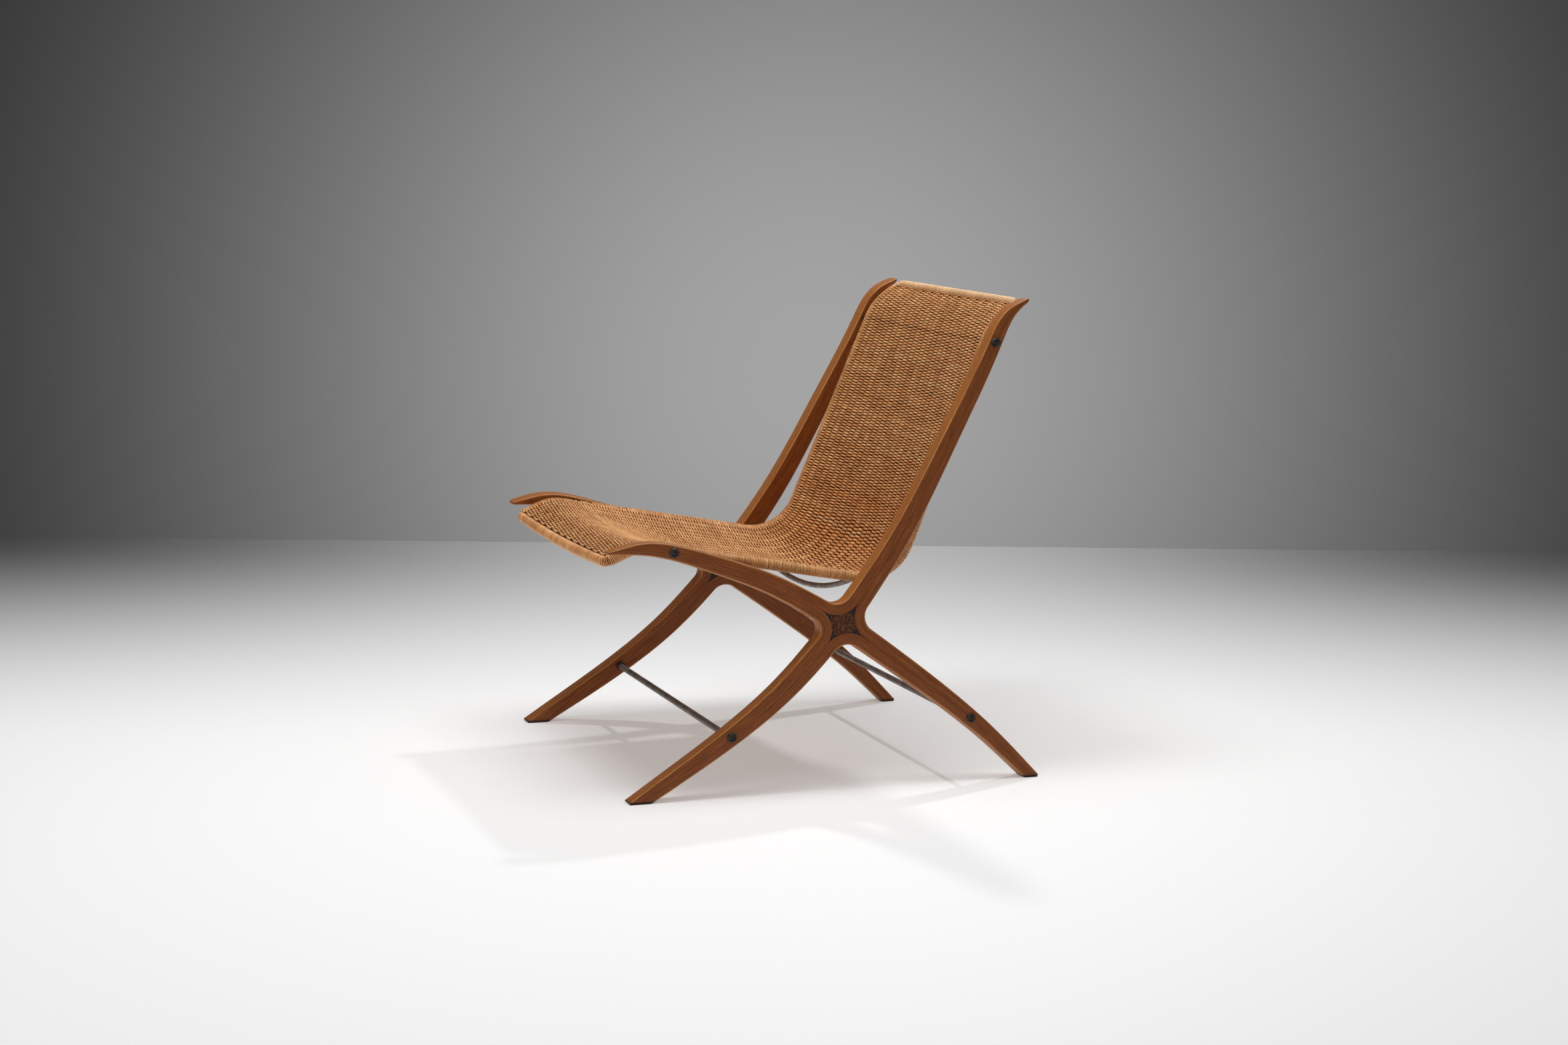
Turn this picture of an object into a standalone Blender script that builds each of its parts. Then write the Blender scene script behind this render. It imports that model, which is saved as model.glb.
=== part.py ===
"""Lounge chair: two bent-laminated X side frames that carry a woven cane shell on a steel rod frame.

Metres, +Z up, the sitter faces -Y, and left is the sitter's left at +X.
Each side frame is drawn flat in its own plane, as (y, z), and leans inwards on the floor.
"""
import math

import bmesh
import bpy
import numpy as np
from mathutils import Matrix, Vector

# Side frames
FLOOR_WIDTH = 0.622
FRAME_LEAN = math.radians(2.3)
FRAME_THICKNESS = 0.028
GLUE_GAP = 0.0003
EDGE_RADIUS = 0.005
EDGE_SHARE = 0.7

# Mid lines of the four arms, from the crossing to the tip
CROSSING = (0.021, 0.247)
SEAT_ARM_TIP = (-0.3345, 0.364)
SEAT_ARM_BENDS = ((-0.0875, 0.309), (-0.1885, 0.347), (-0.2795, 0.3685))
BACK_POST_TIP = (0.3165, 0.718)
BACK_POST_BENDS = ((0.1125, 0.375), (0.192, 0.519), (0.2605, 0.654), (0.2865, 0.698))
FRONT_FOOT_Y = -0.293
FRONT_LEG_BENDS = ((-0.0685, 0.1535), (-0.151, 0.090))
REAR_FOOT_Y = 0.3245
REAR_LEG_BENDS = ((0.1615, 0.145), (0.2605, 0.063))
FOOT_OVERLENGTH = 0.040

# Depth of the arms, both laminations together
ARM_DEPTH = 0.035
HORN_DEPTH = 0.0225
HORN_NOSE = 0.0016
HORN_BLUNTNESS = 0.08
FRONT_FOOT_DEPTH = 0.019
REAR_FOOT_DEPTH = 0.0165
LEG_TAPER = 1.4
TOE_HEIGHT = 0.0028

# Inside curves where the arms meet, and the key between them
SEAT_CURVE_RADIUS = 0.025
REAR_CURVE_RADIUS = 0.024
ARCH_RADIUS = 0.025
FRONT_CURVE_RADIUS = 0.018
KEY_NOSE = 0.0015

# Screws, measured along each arm from its tip or foot
SEAT_SCREW_FROM_TIP = 0.098
BACK_SCREW_FROM_TIP = 0.087
FRONT_LEG_SCREW_FROM_FOOT = 0.1667
REAR_LEG_SCREW_FROM_FOOT = 0.140
SCREW_DIAMETER = 0.005
SCREW_HEAD_LIP = 0.0019
SCREW_GRIP = 0.0065
SCREW_CROWN = 0.0005
RECESS_LENGTH = 0.0048
RECESS_WIDTH = 0.0011
RECESS_DEPTH = 0.0013
WASHER_FLANGE = 0.0020
WASHER_HEIGHT = 0.0026
WASHER_EDGE = 0.001
FIT_CLEARANCE = 0.0003

# Steel rods and their spacers
RAIL_DIAMETER = 0.010
BUSH_LENGTH = 0.0095
BUSH_DIAMETER = 0.013
BUSH_CHAMFER = 0.001
STRETCHER_DIAMETER = 0.0095
BRACE_DIAMETER = 0.0085
BRACE_BELOW_CANE = 0.0115
BRACE_BEFORE_BEND = 0.001

# Side profile of the cane shell, as the middle of its side rails
SEAT_PITCH = math.radians(10.0)
SEAT_AHEAD_OF_SCREW = 0.0186
FRONT_DROP = math.radians(24.0)
FRONT_LIP = 0.0115
BACK_ANGLE = math.radians(67.8)
BACK_ABOVE_SCREW = 0.0028
TOP_ROLL = math.radians(36.0)
TOP_LIP = 0.0098
CREST_RADIUS = 0.070
SEAT_BEND_RADIUS = 0.078
TOP_ROLL_RADIUS = 0.085
CORNER_RADIUS = 0.018
CORNER_STRAIGHT = 0.002

# Cane
WRAP_THICKNESS = 0.002
FRONT_BINDING_THICKNESS = 0.0029
TOP_BINDING_THICKNESS = 0.0023
FRONT_SAG = 0.0065
SEAT_DISH = 0.031
BACK_DISH = 0.020
SEAT_DISH_RUN = 0.240
BACK_DISH_START = 0.45
BACK_DISH_RUN = 0.25
TOP_DISH_RUN = 0.30
CANE_THICKNESS = 0.0035
CANE_ABOVE_RAIL = 0.0035
CANE_CLEARANCE = 0.0006
ROW_PAIR_PITCH = 0.0047
RIDGE_RELIEF = 0.0018

# Faceting
CURVE_SAMPLES = 240
OVERSAMPLING = 8
PARALLEL_AREA = 1e-15
ARM_STATIONS = 11
TIP_CROWDING = 1.5
CURVE_STATIONS = 7
EDGE_STATIONS = 3
ARC_SAG = 0.00025
ROD_SIDES = 10
TURNED_SIDES = 12
RAIL_SPANS = 8
BRACE_STATIONS = 17
PANEL_COLUMNS = 6
RIDGES_PER_SPAN = 6
SMOOTH_ANGLE = math.radians(40.0)

# Finishes: colour, roughness, metallic
WOOD = ((0.145, 0.050, 0.016), 0.45, 0.0)
END_GRAIN = ((0.040, 0.021, 0.012), 0.65, 0.0)
CANE = ((0.53, 0.31, 0.12), 0.5, 0.0)
STEEL = ((0.045, 0.038, 0.034), 0.4, 0.8)
BLACKENED = ((0.022, 0.019, 0.017), 0.45, 0.8)
RUBBER = ((0.018, 0.016, 0.015), 0.55, 0.0)

RAIL_RADIUS = RAIL_DIAMETER / 2
WRAP_RADIUS = RAIL_RADIUS + WRAP_THICKNESS
RAIL_INSET = FRAME_THICKNESS + BUSH_LENGTH + RAIL_RADIUS
SCREW_REACH = FRAME_THICKNESS + BUSH_LENGTH + SCREW_GRIP
SHANK_RADIUS = SCREW_DIAMETER / 2
HEAD_RADIUS = SHANK_RADIUS + SCREW_HEAD_LIP
LEFT = 1
RIGHT = -1
SIDE_NAMES = {LEFT: "left", RIGHT: "right"}


def clear_scene():
    for obj in list(bpy.data.objects):
        bpy.data.objects.remove(obj, do_unlink=True)


def make_material(name, colour, roughness, metallic):
    material = bpy.data.materials.new(name)
    material.use_nodes = True
    shader = material.node_tree.nodes["Principled BSDF"]
    shader.inputs["Base Color"].default_value = (*colour, 1.0)
    shader.inputs["Roughness"].default_value = roughness
    shader.inputs["Metallic"].default_value = metallic
    return material


def make_object(name, bm, finish, parent=None):
    """Object of one closed mesh, with its own material and its sharp edges kept."""
    bmesh.ops.recalc_face_normals(bm, faces=bm.faces)
    if bm.calc_volume(signed=True) < 0.0:
        bmesh.ops.reverse_faces(bm, faces=bm.faces)
    mesh = bpy.data.meshes.new(name)
    bm.to_mesh(mesh)
    bm.free()
    mesh.shade_smooth()
    mesh.set_sharp_from_angle(angle=SMOOTH_ANGLE)
    mesh.materials.append(make_material(f"{name}_finish", *finish))
    obj = bpy.data.objects.new(name, mesh)
    obj.parent = parent
    bpy.context.collection.objects.link(obj)
    return obj


def make_cutter(name, bm, parent=None):
    obj = make_object(name, bm, STEEL, parent)
    obj.hide_render = True
    obj.display_type = "WIRE"
    return obj


def cut(obj, cutter):
    modifier = obj.modifiers.new(cutter.name, "BOOLEAN")
    modifier.operation = "DIFFERENCE"
    modifier.solver = "EXACT"
    modifier.object = cutter


def curve_through(points):
    """Smooth curve through a few points, sampled evenly along its length."""
    points = np.array(points, dtype=float)
    knots = np.concatenate([[0.0], np.cumsum(np.linalg.norm(np.diff(points, axis=0), axis=1))])
    count = len(points)
    system = np.eye(count)
    target = np.zeros_like(points)
    for i in range(1, count - 1):
        before = knots[i] - knots[i - 1]
        after = knots[i + 1] - knots[i]
        system[i, i - 1:i + 2] = before, 2.0 * (before + after), after
        target[i] = 6.0 * ((points[i + 1] - points[i]) / after - (points[i] - points[i - 1]) / before)
    bend = np.linalg.solve(system, target)
    dense = np.linspace(0.0, knots[-1], OVERSAMPLING * CURVE_SAMPLES)
    span = np.clip(np.searchsorted(knots, dense, side="right") - 1, 0, count - 2)
    width = (knots[span + 1] - knots[span])[:, None]
    far = ((knots[span + 1] - dense)[:, None]) / width
    near = 1.0 - far
    curve = far * points[span] + near * points[span + 1]
    curve += ((far ** 3 - far) * bend[span] + (near ** 3 - near) * bend[span + 1]) * width ** 2 / 6.0
    return resample(curve, CURVE_SAMPLES)


def resample(curve, count):
    reach = lengths_along(curve)
    even = np.linspace(0.0, reach[-1], count)
    return np.stack([np.interp(even, reach, column) for column in curve.T], axis=1)


def lengths_along(curve):
    return np.concatenate([[0.0], np.cumsum(np.linalg.norm(np.diff(curve, axis=0), axis=1))])


class Arm:
    """Mid line of one arm from its tip to the crossing, with half its depth along the way."""

    def __init__(self, bends, tip, half_depth):
        self.line = curve_through([CROSSING, *bends, tip])[::-1]
        self.reach = lengths_along(self.line)
        self.length = self.reach[-1]
        self.half = half_depth(self.reach, self.length)
        inward = np.gradient(self.line, axis=0)
        self.outward = -inward / np.linalg.norm(inward, axis=1)[:, None]
        self.glued = self.length

    def normals(self, side):
        """Unit normals on the clockwise (1) or anticlockwise (-1) side, seen with +y to the right."""
        return side * np.stack([self.outward[:, 1], -self.outward[:, 0]], axis=1)

    def sample(self, values, distance):
        if values.ndim == 1:
            return np.interp(distance, self.reach, values)
        return np.array([np.interp(distance, self.reach, column) for column in values.T])

    def point(self, distance):
        return self.sample(self.line, distance)

    def stations(self, end):
        """Distances from the tip, alike for both laminations of the arm as far as they are glued."""
        distances = self.glued * np.linspace(0.0, 1.0, ARM_STATIONS + 1) ** TIP_CROWDING
        return distances[distances < end - GLUE_GAP]


def horn_half_depth(screw_from_tip):
    """Half depth of an arm that ends in a horn: a rounded nose, a swelling, then a straight taper."""
    def half_depth(reach, length):
        nose = HORN_NOSE * np.sqrt(1.0 - (1.0 - np.clip(reach / HORN_NOSE, HORN_BLUNTNESS, 1.0)) ** 2)
        swell = (HORN_DEPTH / 2 - HORN_NOSE) * (1.0 - (1.0 - np.clip(reach / screw_from_tip, 0.0, 1.0)) ** 2)
        taper = np.clip((reach - screw_from_tip) / (length - screw_from_tip), 0.0, 1.0)
        return nose + swell + (ARM_DEPTH - HORN_DEPTH) / 2 * taper
    return half_depth


def leg_half_depth(foot_depth):
    """Half depth of an arm that ends in a foot."""
    def half_depth(reach, length):
        from_crossing = 1.0 - reach / length
        return (ARM_DEPTH - (ARM_DEPTH - foot_depth) * from_crossing ** LEG_TAPER) / 2
    return half_depth


def make_leg(bends, foot_y, foot_depth):
    """Leg arm whose mid line runs on below the floor, where the sole is cut."""
    foot = np.array((foot_y, 0.0))
    fall = foot - np.array(bends[-1])
    end = foot + fall / np.linalg.norm(fall) * FOOT_OVERLENGTH
    return Arm((*bends, tuple(foot)), tuple(end), leg_half_depth(foot_depth))


def toe_of(leg):
    """Point and direction of the cut that blunts the toe of a leg."""
    upward = leg.normals(1 if leg.outward[0, 0] < 0.0 else -1)
    upper = leg.line + upward * leg.half[:, None]
    above = int(np.argmax(upper[:, 1] > TOE_HEIGHT))
    return upper[above], leg.outward[above]


def polyline_crossing(first, second):
    """Place where two polylines cross, as a fractional index on each, and the point itself."""
    run = np.diff(second, axis=0)
    for i in range(len(first) - 1):
        step = first[i + 1] - first[i]
        gap = second[:-1] - first[i]
        area = step[0] * run[:, 1] - step[1] * run[:, 0]
        area = np.where(np.abs(area) < PARALLEL_AREA, PARALLEL_AREA, area)
        along_first = (gap[:, 0] * run[:, 1] - gap[:, 1] * run[:, 0]) / area
        along_second = (gap[:, 0] * step[1] - gap[:, 1] * step[0]) / area
        hits = (along_first >= 0) & (along_first < 1) & (along_second >= 0) & (along_second < 1)
        if hits.any():
            j = int(np.argmax(hits))
            return i + along_first[j], j + along_second[j], first[i] + along_first[j] * step
    raise ValueError("the inside curve does not fit between its two arms")


class InsideCurve:
    """Round inside curve between one arm and the next arm clockwise."""

    def __init__(self, first, second, radius):
        self.first = first
        self.second = second
        self.radius = radius
        first_offset = first.line + first.normals(1) * (first.half + radius)[:, None]
        second_offset = second.line + second.normals(-1) * (second.half + radius)[:, None]
        i, j, self.centre = polyline_crossing(first_offset, second_offset)
        self.first_end = np.interp(i, np.arange(len(first.reach)), first.reach)
        self.second_end = np.interp(j, np.arange(len(second.reach)), second.reach)
        first.glued = min(first.glued, self.first_end)
        second.glued = min(second.glued, self.second_end)
        self.first_depth = first.sample(first.half, self.first_end)
        self.second_depth = second.sample(second.half, self.second_end)
        toward_first = -first.sample(first.normals(1), self.first_end)
        toward_second = -second.sample(second.normals(-1), self.second_end)
        self.start_angle = math.atan2(toward_first[1], toward_first[0])
        turn = math.atan2(toward_second[1], toward_second[0]) - self.start_angle
        self.turn = (turn + math.pi) % (2 * math.pi) - math.pi

    def direction(self, share):
        angle = self.start_angle + self.turn * share
        return np.array([math.cos(angle), math.sin(angle)])

    def depth(self, share):
        return self.first_depth + (self.second_depth - self.first_depth) * share

    def stations(self):
        """Pairs of points, on the glue face and on the open face, from the first tip to the second."""
        pairs = [arm_station(self.first, 1, distance) for distance in self.first.stations(self.first_end)]
        for share in np.linspace(0.0, 1.0, CURVE_STATIONS):
            direction = self.direction(share)
            glue = self.centre + direction * (self.radius + self.depth(share) - GLUE_GAP / 2)
            pairs.append((glue, self.centre + direction * self.radius))
        for distance in self.second.stations(self.second_end)[::-1]:
            pairs.append(arm_station(self.second, -1, distance))
        return pairs


def arm_station(arm, side, distance):
    normal = arm.sample(arm.normals(side), distance)
    middle = arm.point(distance)
    return middle + normal * GLUE_GAP / 2, middle + normal * arm.sample(arm.half, distance)


def loft(rings):
    """Closed skin over rings of equal point count, with flat ends."""
    bm = bmesh.new()
    rows = [[bm.verts.new(point) for point in ring] for ring in rings]
    count = len(rows[0])
    for row, following in zip(rows, rows[1:]):
        for k in range(count):
            after = (k + 1) % count
            bm.faces.new((row[k], row[after], following[after], following[k]))
    bm.faces.new(rows[0])
    bm.faces.new(rows[-1])
    return bm


def lamination_ring(glue, face, side):
    """Cross section of a lamination: square on the glue face, rounded on the open face."""
    depth = float(np.linalg.norm(face - glue))
    across = (face - glue) / depth
    radius = min(EDGE_RADIUS, EDGE_SHARE * depth)
    half = [(0.0, 0.0)]
    for turn in np.linspace(0.0, math.pi / 2, EDGE_STATIONS):
        half.append((radius * (1 - math.cos(turn)), depth - radius * (1 - math.sin(turn))))
    profile = half + [(FRAME_THICKNESS - inset, height) for inset, height in half[::-1]]
    return [(-side * inset, *(glue + across * height)) for inset, height in profile]


def trim(bm, point, normal):
    """Cut away what lies ahead of a plane and close the cut."""
    geometry = [*bm.verts, *bm.edges, *bm.faces]
    section = bmesh.ops.bisect_plane(bm, geom=geometry, plane_co=point, plane_no=normal, clear_outer=True)
    edges = [item for item in section["geom_cut"] if isinstance(item, bmesh.types.BMEdge)]
    if edges:
        bmesh.ops.holes_fill(bm, edges=edges)


def key_outline(curves):
    """Curved diamond that fills the space between the four laminations."""
    outline = []
    for i, curve in enumerate(curves):
        before = curves[i - 1]
        after = curves[(i + 1) % len(curves)]
        for share in np.linspace(0.0, 1.0, CURVE_SAMPLES):
            rim = curve.radius + curve.depth(share) + GLUE_GAP / 2
            point = curve.centre + curve.direction(share) * rim
            clear = min(
                np.linalg.norm(point - other.centre) - other.radius - other.depth(0.5) - GLUE_GAP / 2
                for other in (before, after))
            if clear >= KEY_NOSE:
                outline.append((i, point))
    return [[point for member, point in outline if member == i] for i in range(len(curves))]


def make_key(name, curves, side, parent):
    bm = bmesh.new()
    corners = []
    for arc in key_outline(curves):
        kept = np.array(arc)[np.linspace(0, len(arc) - 1, CURVE_STATIONS).round().astype(int)]
        corners.extend(kept)
    face = bm.faces.new([bm.verts.new((0.0, *point)) for point in corners])
    solid = bmesh.ops.extrude_face_region(bm, geom=[face])
    moved = [item for item in solid["geom"] if isinstance(item, bmesh.types.BMVert)]
    bmesh.ops.translate(bm, verts=moved, vec=(-side * FRAME_THICKNESS, 0.0, 0.0))
    return make_object(name, bm, END_GRAIN, parent)


def turned(profile):
    """Solid turned round the x axis from (along, radius) points, open on the axis or a closed ring."""
    bm = bmesh.new()
    on_axis = profile[0][1] == 0.0
    rings = []
    for along, radius in profile:
        if radius == 0.0:
            rings.append([bm.verts.new((along, 0.0, 0.0))])
            continue
        angles = [2 * math.pi * k / TURNED_SIDES for k in range(TURNED_SIDES)]
        rings.append([bm.verts.new((along, radius * math.cos(a), radius * math.sin(a))) for a in angles])
    pairs = list(zip(rings, rings[1:]))
    if not on_axis:
        pairs.append((rings[-1], rings[0]))
    for first, second in pairs:
        for k in range(TURNED_SIDES):
            after = (k + 1) % TURNED_SIDES
            corners = [first[k % len(first)], first[after % len(first)]]
            corners += [second[after % len(second)], second[k % len(second)]]
            bm.faces.new(list(dict.fromkeys(corners)))
    return bm


def with_tangents(points):
    """Stations of a path: each point with the direction of the path there."""
    stations = []
    for i, point in enumerate(points):
        ahead = points[min(i + 1, len(points) - 1)]
        behind = points[max(i - 1, 0)]
        stations.append((point, (ahead - behind).normalized()))
    return stations


def tube(stations, radius, sides, bore=0.0):
    """Round bar along a path, or a hose of the given bore; radius may change from station to station."""
    radii = radius if isinstance(radius, list) else [radius] * len(stations)
    normal = Vector((1.0, 0.0, 0.0)) if abs(stations[0][1].x) < 0.9 else Vector((0.0, 0.0, 1.0))
    outer = []
    inner = []
    for (point, tangent), size in zip(stations, radii):
        normal = (normal - tangent * normal.dot(tangent)).normalized()
        across = tangent.cross(normal)
        spokes = []
        for k in range(sides):
            angle = 2 * math.pi * k / sides
            spokes.append(normal * math.cos(angle) + across * math.sin(angle))
        outer.append([point + spoke * size for spoke in spokes])
        inner.append([point + spoke * bore for spoke in spokes])
    if bore == 0.0:
        return loft(outer)
    bm = bmesh.new()
    skins = [[[bm.verts.new(point) for point in ring] for ring in rings] for rings in (outer, inner)]
    loops = skins[0] + skins[1][::-1]
    loops.append(loops[0])
    for row, following in zip(loops, loops[1:]):
        for k in range(sides):
            after = (k + 1) % sides
            bm.faces.new((row[k], row[after], following[after], following[k]))
    return bm


def rounded_path(corners, radii):
    """Stations of a path through corner points, each rounded to its radius."""
    corners = [Vector(corner) for corner in corners]
    stations = [(corners[0], (corners[1] - corners[0]).normalized())]
    for before, corner, after, radius in zip(corners, corners[1:], corners[2:], radii):
        back = (before - corner).normalized()
        ahead = (after - corner).normalized()
        if radius == 0.0:
            stations.append((corner, (ahead - back).normalized()))
            continue
        half = back.angle(ahead) / 2
        centre = corner + (back + ahead).normalized() * (radius / math.sin(half))
        spoke = corner + back * (radius / math.tan(half)) - centre
        axis = back.cross(ahead).normalized()
        turn = math.pi - 2 * half
        count = max(2, math.ceil(turn / (2 * math.acos(1.0 - ARC_SAG / radius))))
        for k in range(count + 1):
            swing = Matrix.Rotation(-turn * k / count, 3, axis)
            stations.append((centre + swing @ spoke, swing @ -back))
    stations.append((corners[-1], (corners[-1] - corners[-2]).normalized()))
    return stations


def bar_between(start, end, radius):
    return tube(with_tangents([Vector(start), Vector(end)]), radius, TURNED_SIDES)


def make_side_empty(side):
    empty = bpy.data.objects.new(f"{SIDE_NAMES[side]}_frame", None)
    empty.location = (side * FLOOR_WIDTH / 2, 0.0, 0.0)
    empty.rotation_euler = (0.0, -side * FRAME_LEAN, 0.0)
    bpy.context.collection.objects.link(empty)
    return empty


def to_world(side, inset, y, z):
    """World place of a point in a side frame, inset from its outer face."""
    turn = Matrix.Rotation(-side * FRAME_LEAN, 4, "Y")
    return Matrix.Translation((side * FLOOR_WIDTH / 2, 0.0, 0.0)) @ turn @ Vector((-side * inset, y, z))


def make_side_frame(side, parent, curves):
    """Four bent laminations and the key of one X frame."""
    name = SIDE_NAMES[side]
    floor = Vector((-side * math.sin(FRAME_LEAN), 0.0, -math.cos(FRAME_LEAN)))
    members = {}
    for label, curve in curves.items():
        rings = [lamination_ring(glue, face, side) for glue, face in curve.stations()]
        bm = loft(rings)
        for leg in (curve.first, curve.second):
            if leg in (ARMS["front_leg"], ARMS["rear_leg"]):
                point, direction = toe_of(leg)
                trim(bm, (0.0, *point), (0.0, *direction))
        trim(bm, (0.0, 0.0, 0.0), floor)
        members[label] = make_object(f"{name}_{label}_lamination", bm, WOOD, parent)
    make_key(f"{name}_crossing_key", list(curves.values()), side, parent)
    return members


def screw_profile():
    rim = WASHER_HEIGHT - FIT_CLEARANCE
    crown = rim + SCREW_CROWN
    neck = 2 * FIT_CLEARANCE
    return [
        (crown, 0.0), (crown, HEAD_RADIUS / 2), (rim, HEAD_RADIUS), (neck, SHANK_RADIUS),
        (-SCREW_REACH, SHANK_RADIUS), (-SCREW_REACH, 0.0)]


def washer_profile():
    top = FIT_CLEARANCE + WASHER_HEIGHT
    mouth = HEAD_RADIUS + 2 * FIT_CLEARANCE
    hole = SHANK_RADIUS + 2 * FIT_CLEARANCE
    lip = mouth + FIT_CLEARANCE
    rim = lip + WASHER_FLANGE
    return [
        (FIT_CLEARANCE, hole), (2 * FIT_CLEARANCE, hole), (top - FIT_CLEARANCE, mouth), (top, lip),
        (FIT_CLEARANCE + WASHER_EDGE, rim), (FIT_CLEARANCE, rim)]


def bush_profile():
    bore = SHANK_RADIUS + FIT_CLEARANCE
    start = -FRAME_THICKNESS - FIT_CLEARANCE
    end = -FRAME_THICKNESS - BUSH_LENGTH + FIT_CLEARANCE
    rim = BUSH_DIAMETER / 2
    inner = rim - BUSH_CHAMFER
    return [
        (start, bore), (start, inner), (start - BUSH_CHAMFER, rim),
        (end + BUSH_CHAMFER, rim), (end, inner), (end, bore)]


def recess_cutter(name, parent, place, facing):
    """Plus-shaped cutter for the cross recess of a screw."""
    depth_from = screw_profile()[0][0] - RECESS_DEPTH
    bm = bmesh.new()
    half = RECESS_LENGTH / 2
    arm = RECESS_WIDTH / 2
    outline = [(half, arm), (arm, arm), (arm, half), (-arm, half), (-arm, arm), (-half, arm)]
    outline += [(-y, -z) for y, z in outline]
    face = bm.faces.new([bm.verts.new((depth_from, y, z)) for y, z in outline])
    solid = bmesh.ops.extrude_face_region(bm, geom=[face])
    moved = [item for item in solid["geom"] if isinstance(item, bmesh.types.BMVert)]
    bmesh.ops.translate(bm, verts=moved, vec=(2 * RECESS_DEPTH, 0.0, 0.0))
    cutter = make_cutter(name, bm, parent)
    cutter.location = (0.0, *place)
    cutter.rotation_euler = (0.0, 0.0, facing)
    return cutter


def make_fastening(side, parent, label, spacer, place):
    """Screw, cup washer and spacer at one place of a side frame, and the cutter for the screw's hole."""
    name = SIDE_NAMES[side]
    facing = 0.0 if side == LEFT else math.pi
    pieces = {
        f"{label}_screw": (screw_profile(), BLACKENED),
        f"{label}_washer": (washer_profile(), BLACKENED),
        spacer: (bush_profile(), RUBBER)}
    for piece, (profile, finish) in pieces.items():
        obj = make_object(f"{name}_{piece}", turned(profile), finish, parent)
        obj.location = (0.0, *place)
        obj.rotation_euler = (0.0, 0.0, facing)
        if profile[0][1] == 0.0:
            cut(obj, recess_cutter(f"{name}_{label}_recess", parent, place, facing))
    end = (-SCREW_REACH - FIT_CLEARANCE, 0.0, 0.0)
    bm = bar_between((WASHER_HEIGHT, 0.0, 0.0), end, SHANK_RADIUS + FIT_CLEARANCE)
    hole = make_cutter(f"{name}_{label}_hole", bm, parent)
    hole.location = (0.0, *place)
    hole.rotation_euler = (0.0, 0.0, facing)
    return hole


class ShellProfile:
    """Middle of a side rail in the plane of its side frame, from the front rail to the top rail."""

    def __init__(self, seat_screw, back_screw):
        seat_ahead = np.array([-math.cos(SEAT_PITCH), math.sin(SEAT_PITCH)])
        front_ahead = np.array([-math.cos(FRONT_DROP), -math.sin(FRONT_DROP)])
        back_up = np.array([math.cos(BACK_ANGLE), math.sin(BACK_ANGLE)])
        top_ahead = np.array([math.cos(TOP_ROLL), math.sin(TOP_ROLL)])
        crest_run = CREST_RADIUS * math.tan((SEAT_PITCH + FRONT_DROP) / 2)
        bend_run = SEAT_BEND_RADIUS * math.tan((BACK_ANGLE + SEAT_PITCH) / 2)
        roll_run = TOP_ROLL_RADIUS * math.tan((BACK_ANGLE - TOP_ROLL) / 2)
        corner_run = CORNER_RADIUS + CORNER_STRAIGHT
        crest = seat_screw + seat_ahead * (SEAT_AHEAD_OF_SCREW + crest_run)
        self.front = crest + front_ahead * (crest_run + FRONT_LIP + corner_run)
        shares = np.linalg.solve(np.stack([-seat_ahead, back_up], axis=1), back_screw - seat_screw)
        bend = seat_screw - seat_ahead * shares[0]
        roll = back_screw + back_up * (BACK_ABOVE_SCREW + roll_run)
        self.top = roll + top_ahead * (roll_run + TOP_LIP + corner_run)
        self.front_back = -front_ahead
        self.top_back = -top_ahead
        self.brace = bend + seat_ahead * (bend_run + BRACE_BEFORE_BEND)
        self.corners = [self.front, crest, bend, roll, self.top]
        self.radii = [CREST_RADIUS, SEAT_BEND_RADIUS, TOP_ROLL_RADIUS]

    def path(self, trim):
        """Path of a side rail in its own plane, shortened at both ends."""
        corners = [self.front + self.front_back * trim, *self.corners[1:-1], self.top + self.top_back * trim]
        return rounded_path([(0.0, *corner) for corner in corners], self.radii)

    def even_points(self):
        return resample(np.array([point[1:] for point, _ in self.path(0.0)]), CURVE_SAMPLES)


def rail_place(side, y, z):
    return to_world(side, RAIL_INSET, y, z)


def cross_rail_path(end, back, sag):
    """Path of the front or top rail, with its two round corners and its sag."""
    leg = CORNER_RADIUS + CORNER_STRAIGHT - FIT_CLEARANCE / 2
    left = rail_place(LEFT, *end)
    left_leg = rail_place(LEFT, *(end + back * leg))
    middle = []
    for k in range(RAIL_SPANS + 1):
        across = 1.0 - 2.0 * k / RAIL_SPANS
        middle.append(Vector((left.x * across, left.y, left.z - sag * (1.0 - across ** 2))))
    right_leg = Vector((-left_leg.x, left_leg.y, left_leg.z))
    radii = [CORNER_RADIUS] + [0.0] * (RAIL_SPANS - 1) + [CORNER_RADIUS]
    return rounded_path([left_leg, *middle, right_leg], radii)


def swelling_radii(stations, end_radius, middle_radius, run):
    """Radii that swell from the ends of a path to its middle."""
    reach = lengths_along(np.array([point for point, _ in stations]))
    from_end = np.minimum(reach, reach[-1] - reach)
    share = np.clip(from_end / run, 0.0, 1.0)
    return list(end_radius + (middle_radius - end_radius) * share * share * (3.0 - 2.0 * share))


def make_cross_rail(name, end, back, sag, binding_thickness):
    """Front or top rail and the cane binding that swells over it."""
    path = cross_rail_path(end, back, sag)
    make_object(f"{name}_rail", tube(path, RAIL_RADIUS, ROD_SIDES), STEEL)
    radii = swelling_radii(path, WRAP_RADIUS, RAIL_RADIUS + binding_thickness, 2 * CORNER_RADIUS)
    make_object(f"{name}_binding", tube(path, radii, ROD_SIDES, RAIL_RADIUS + FIT_CLEARANCE), CANE)


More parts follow.
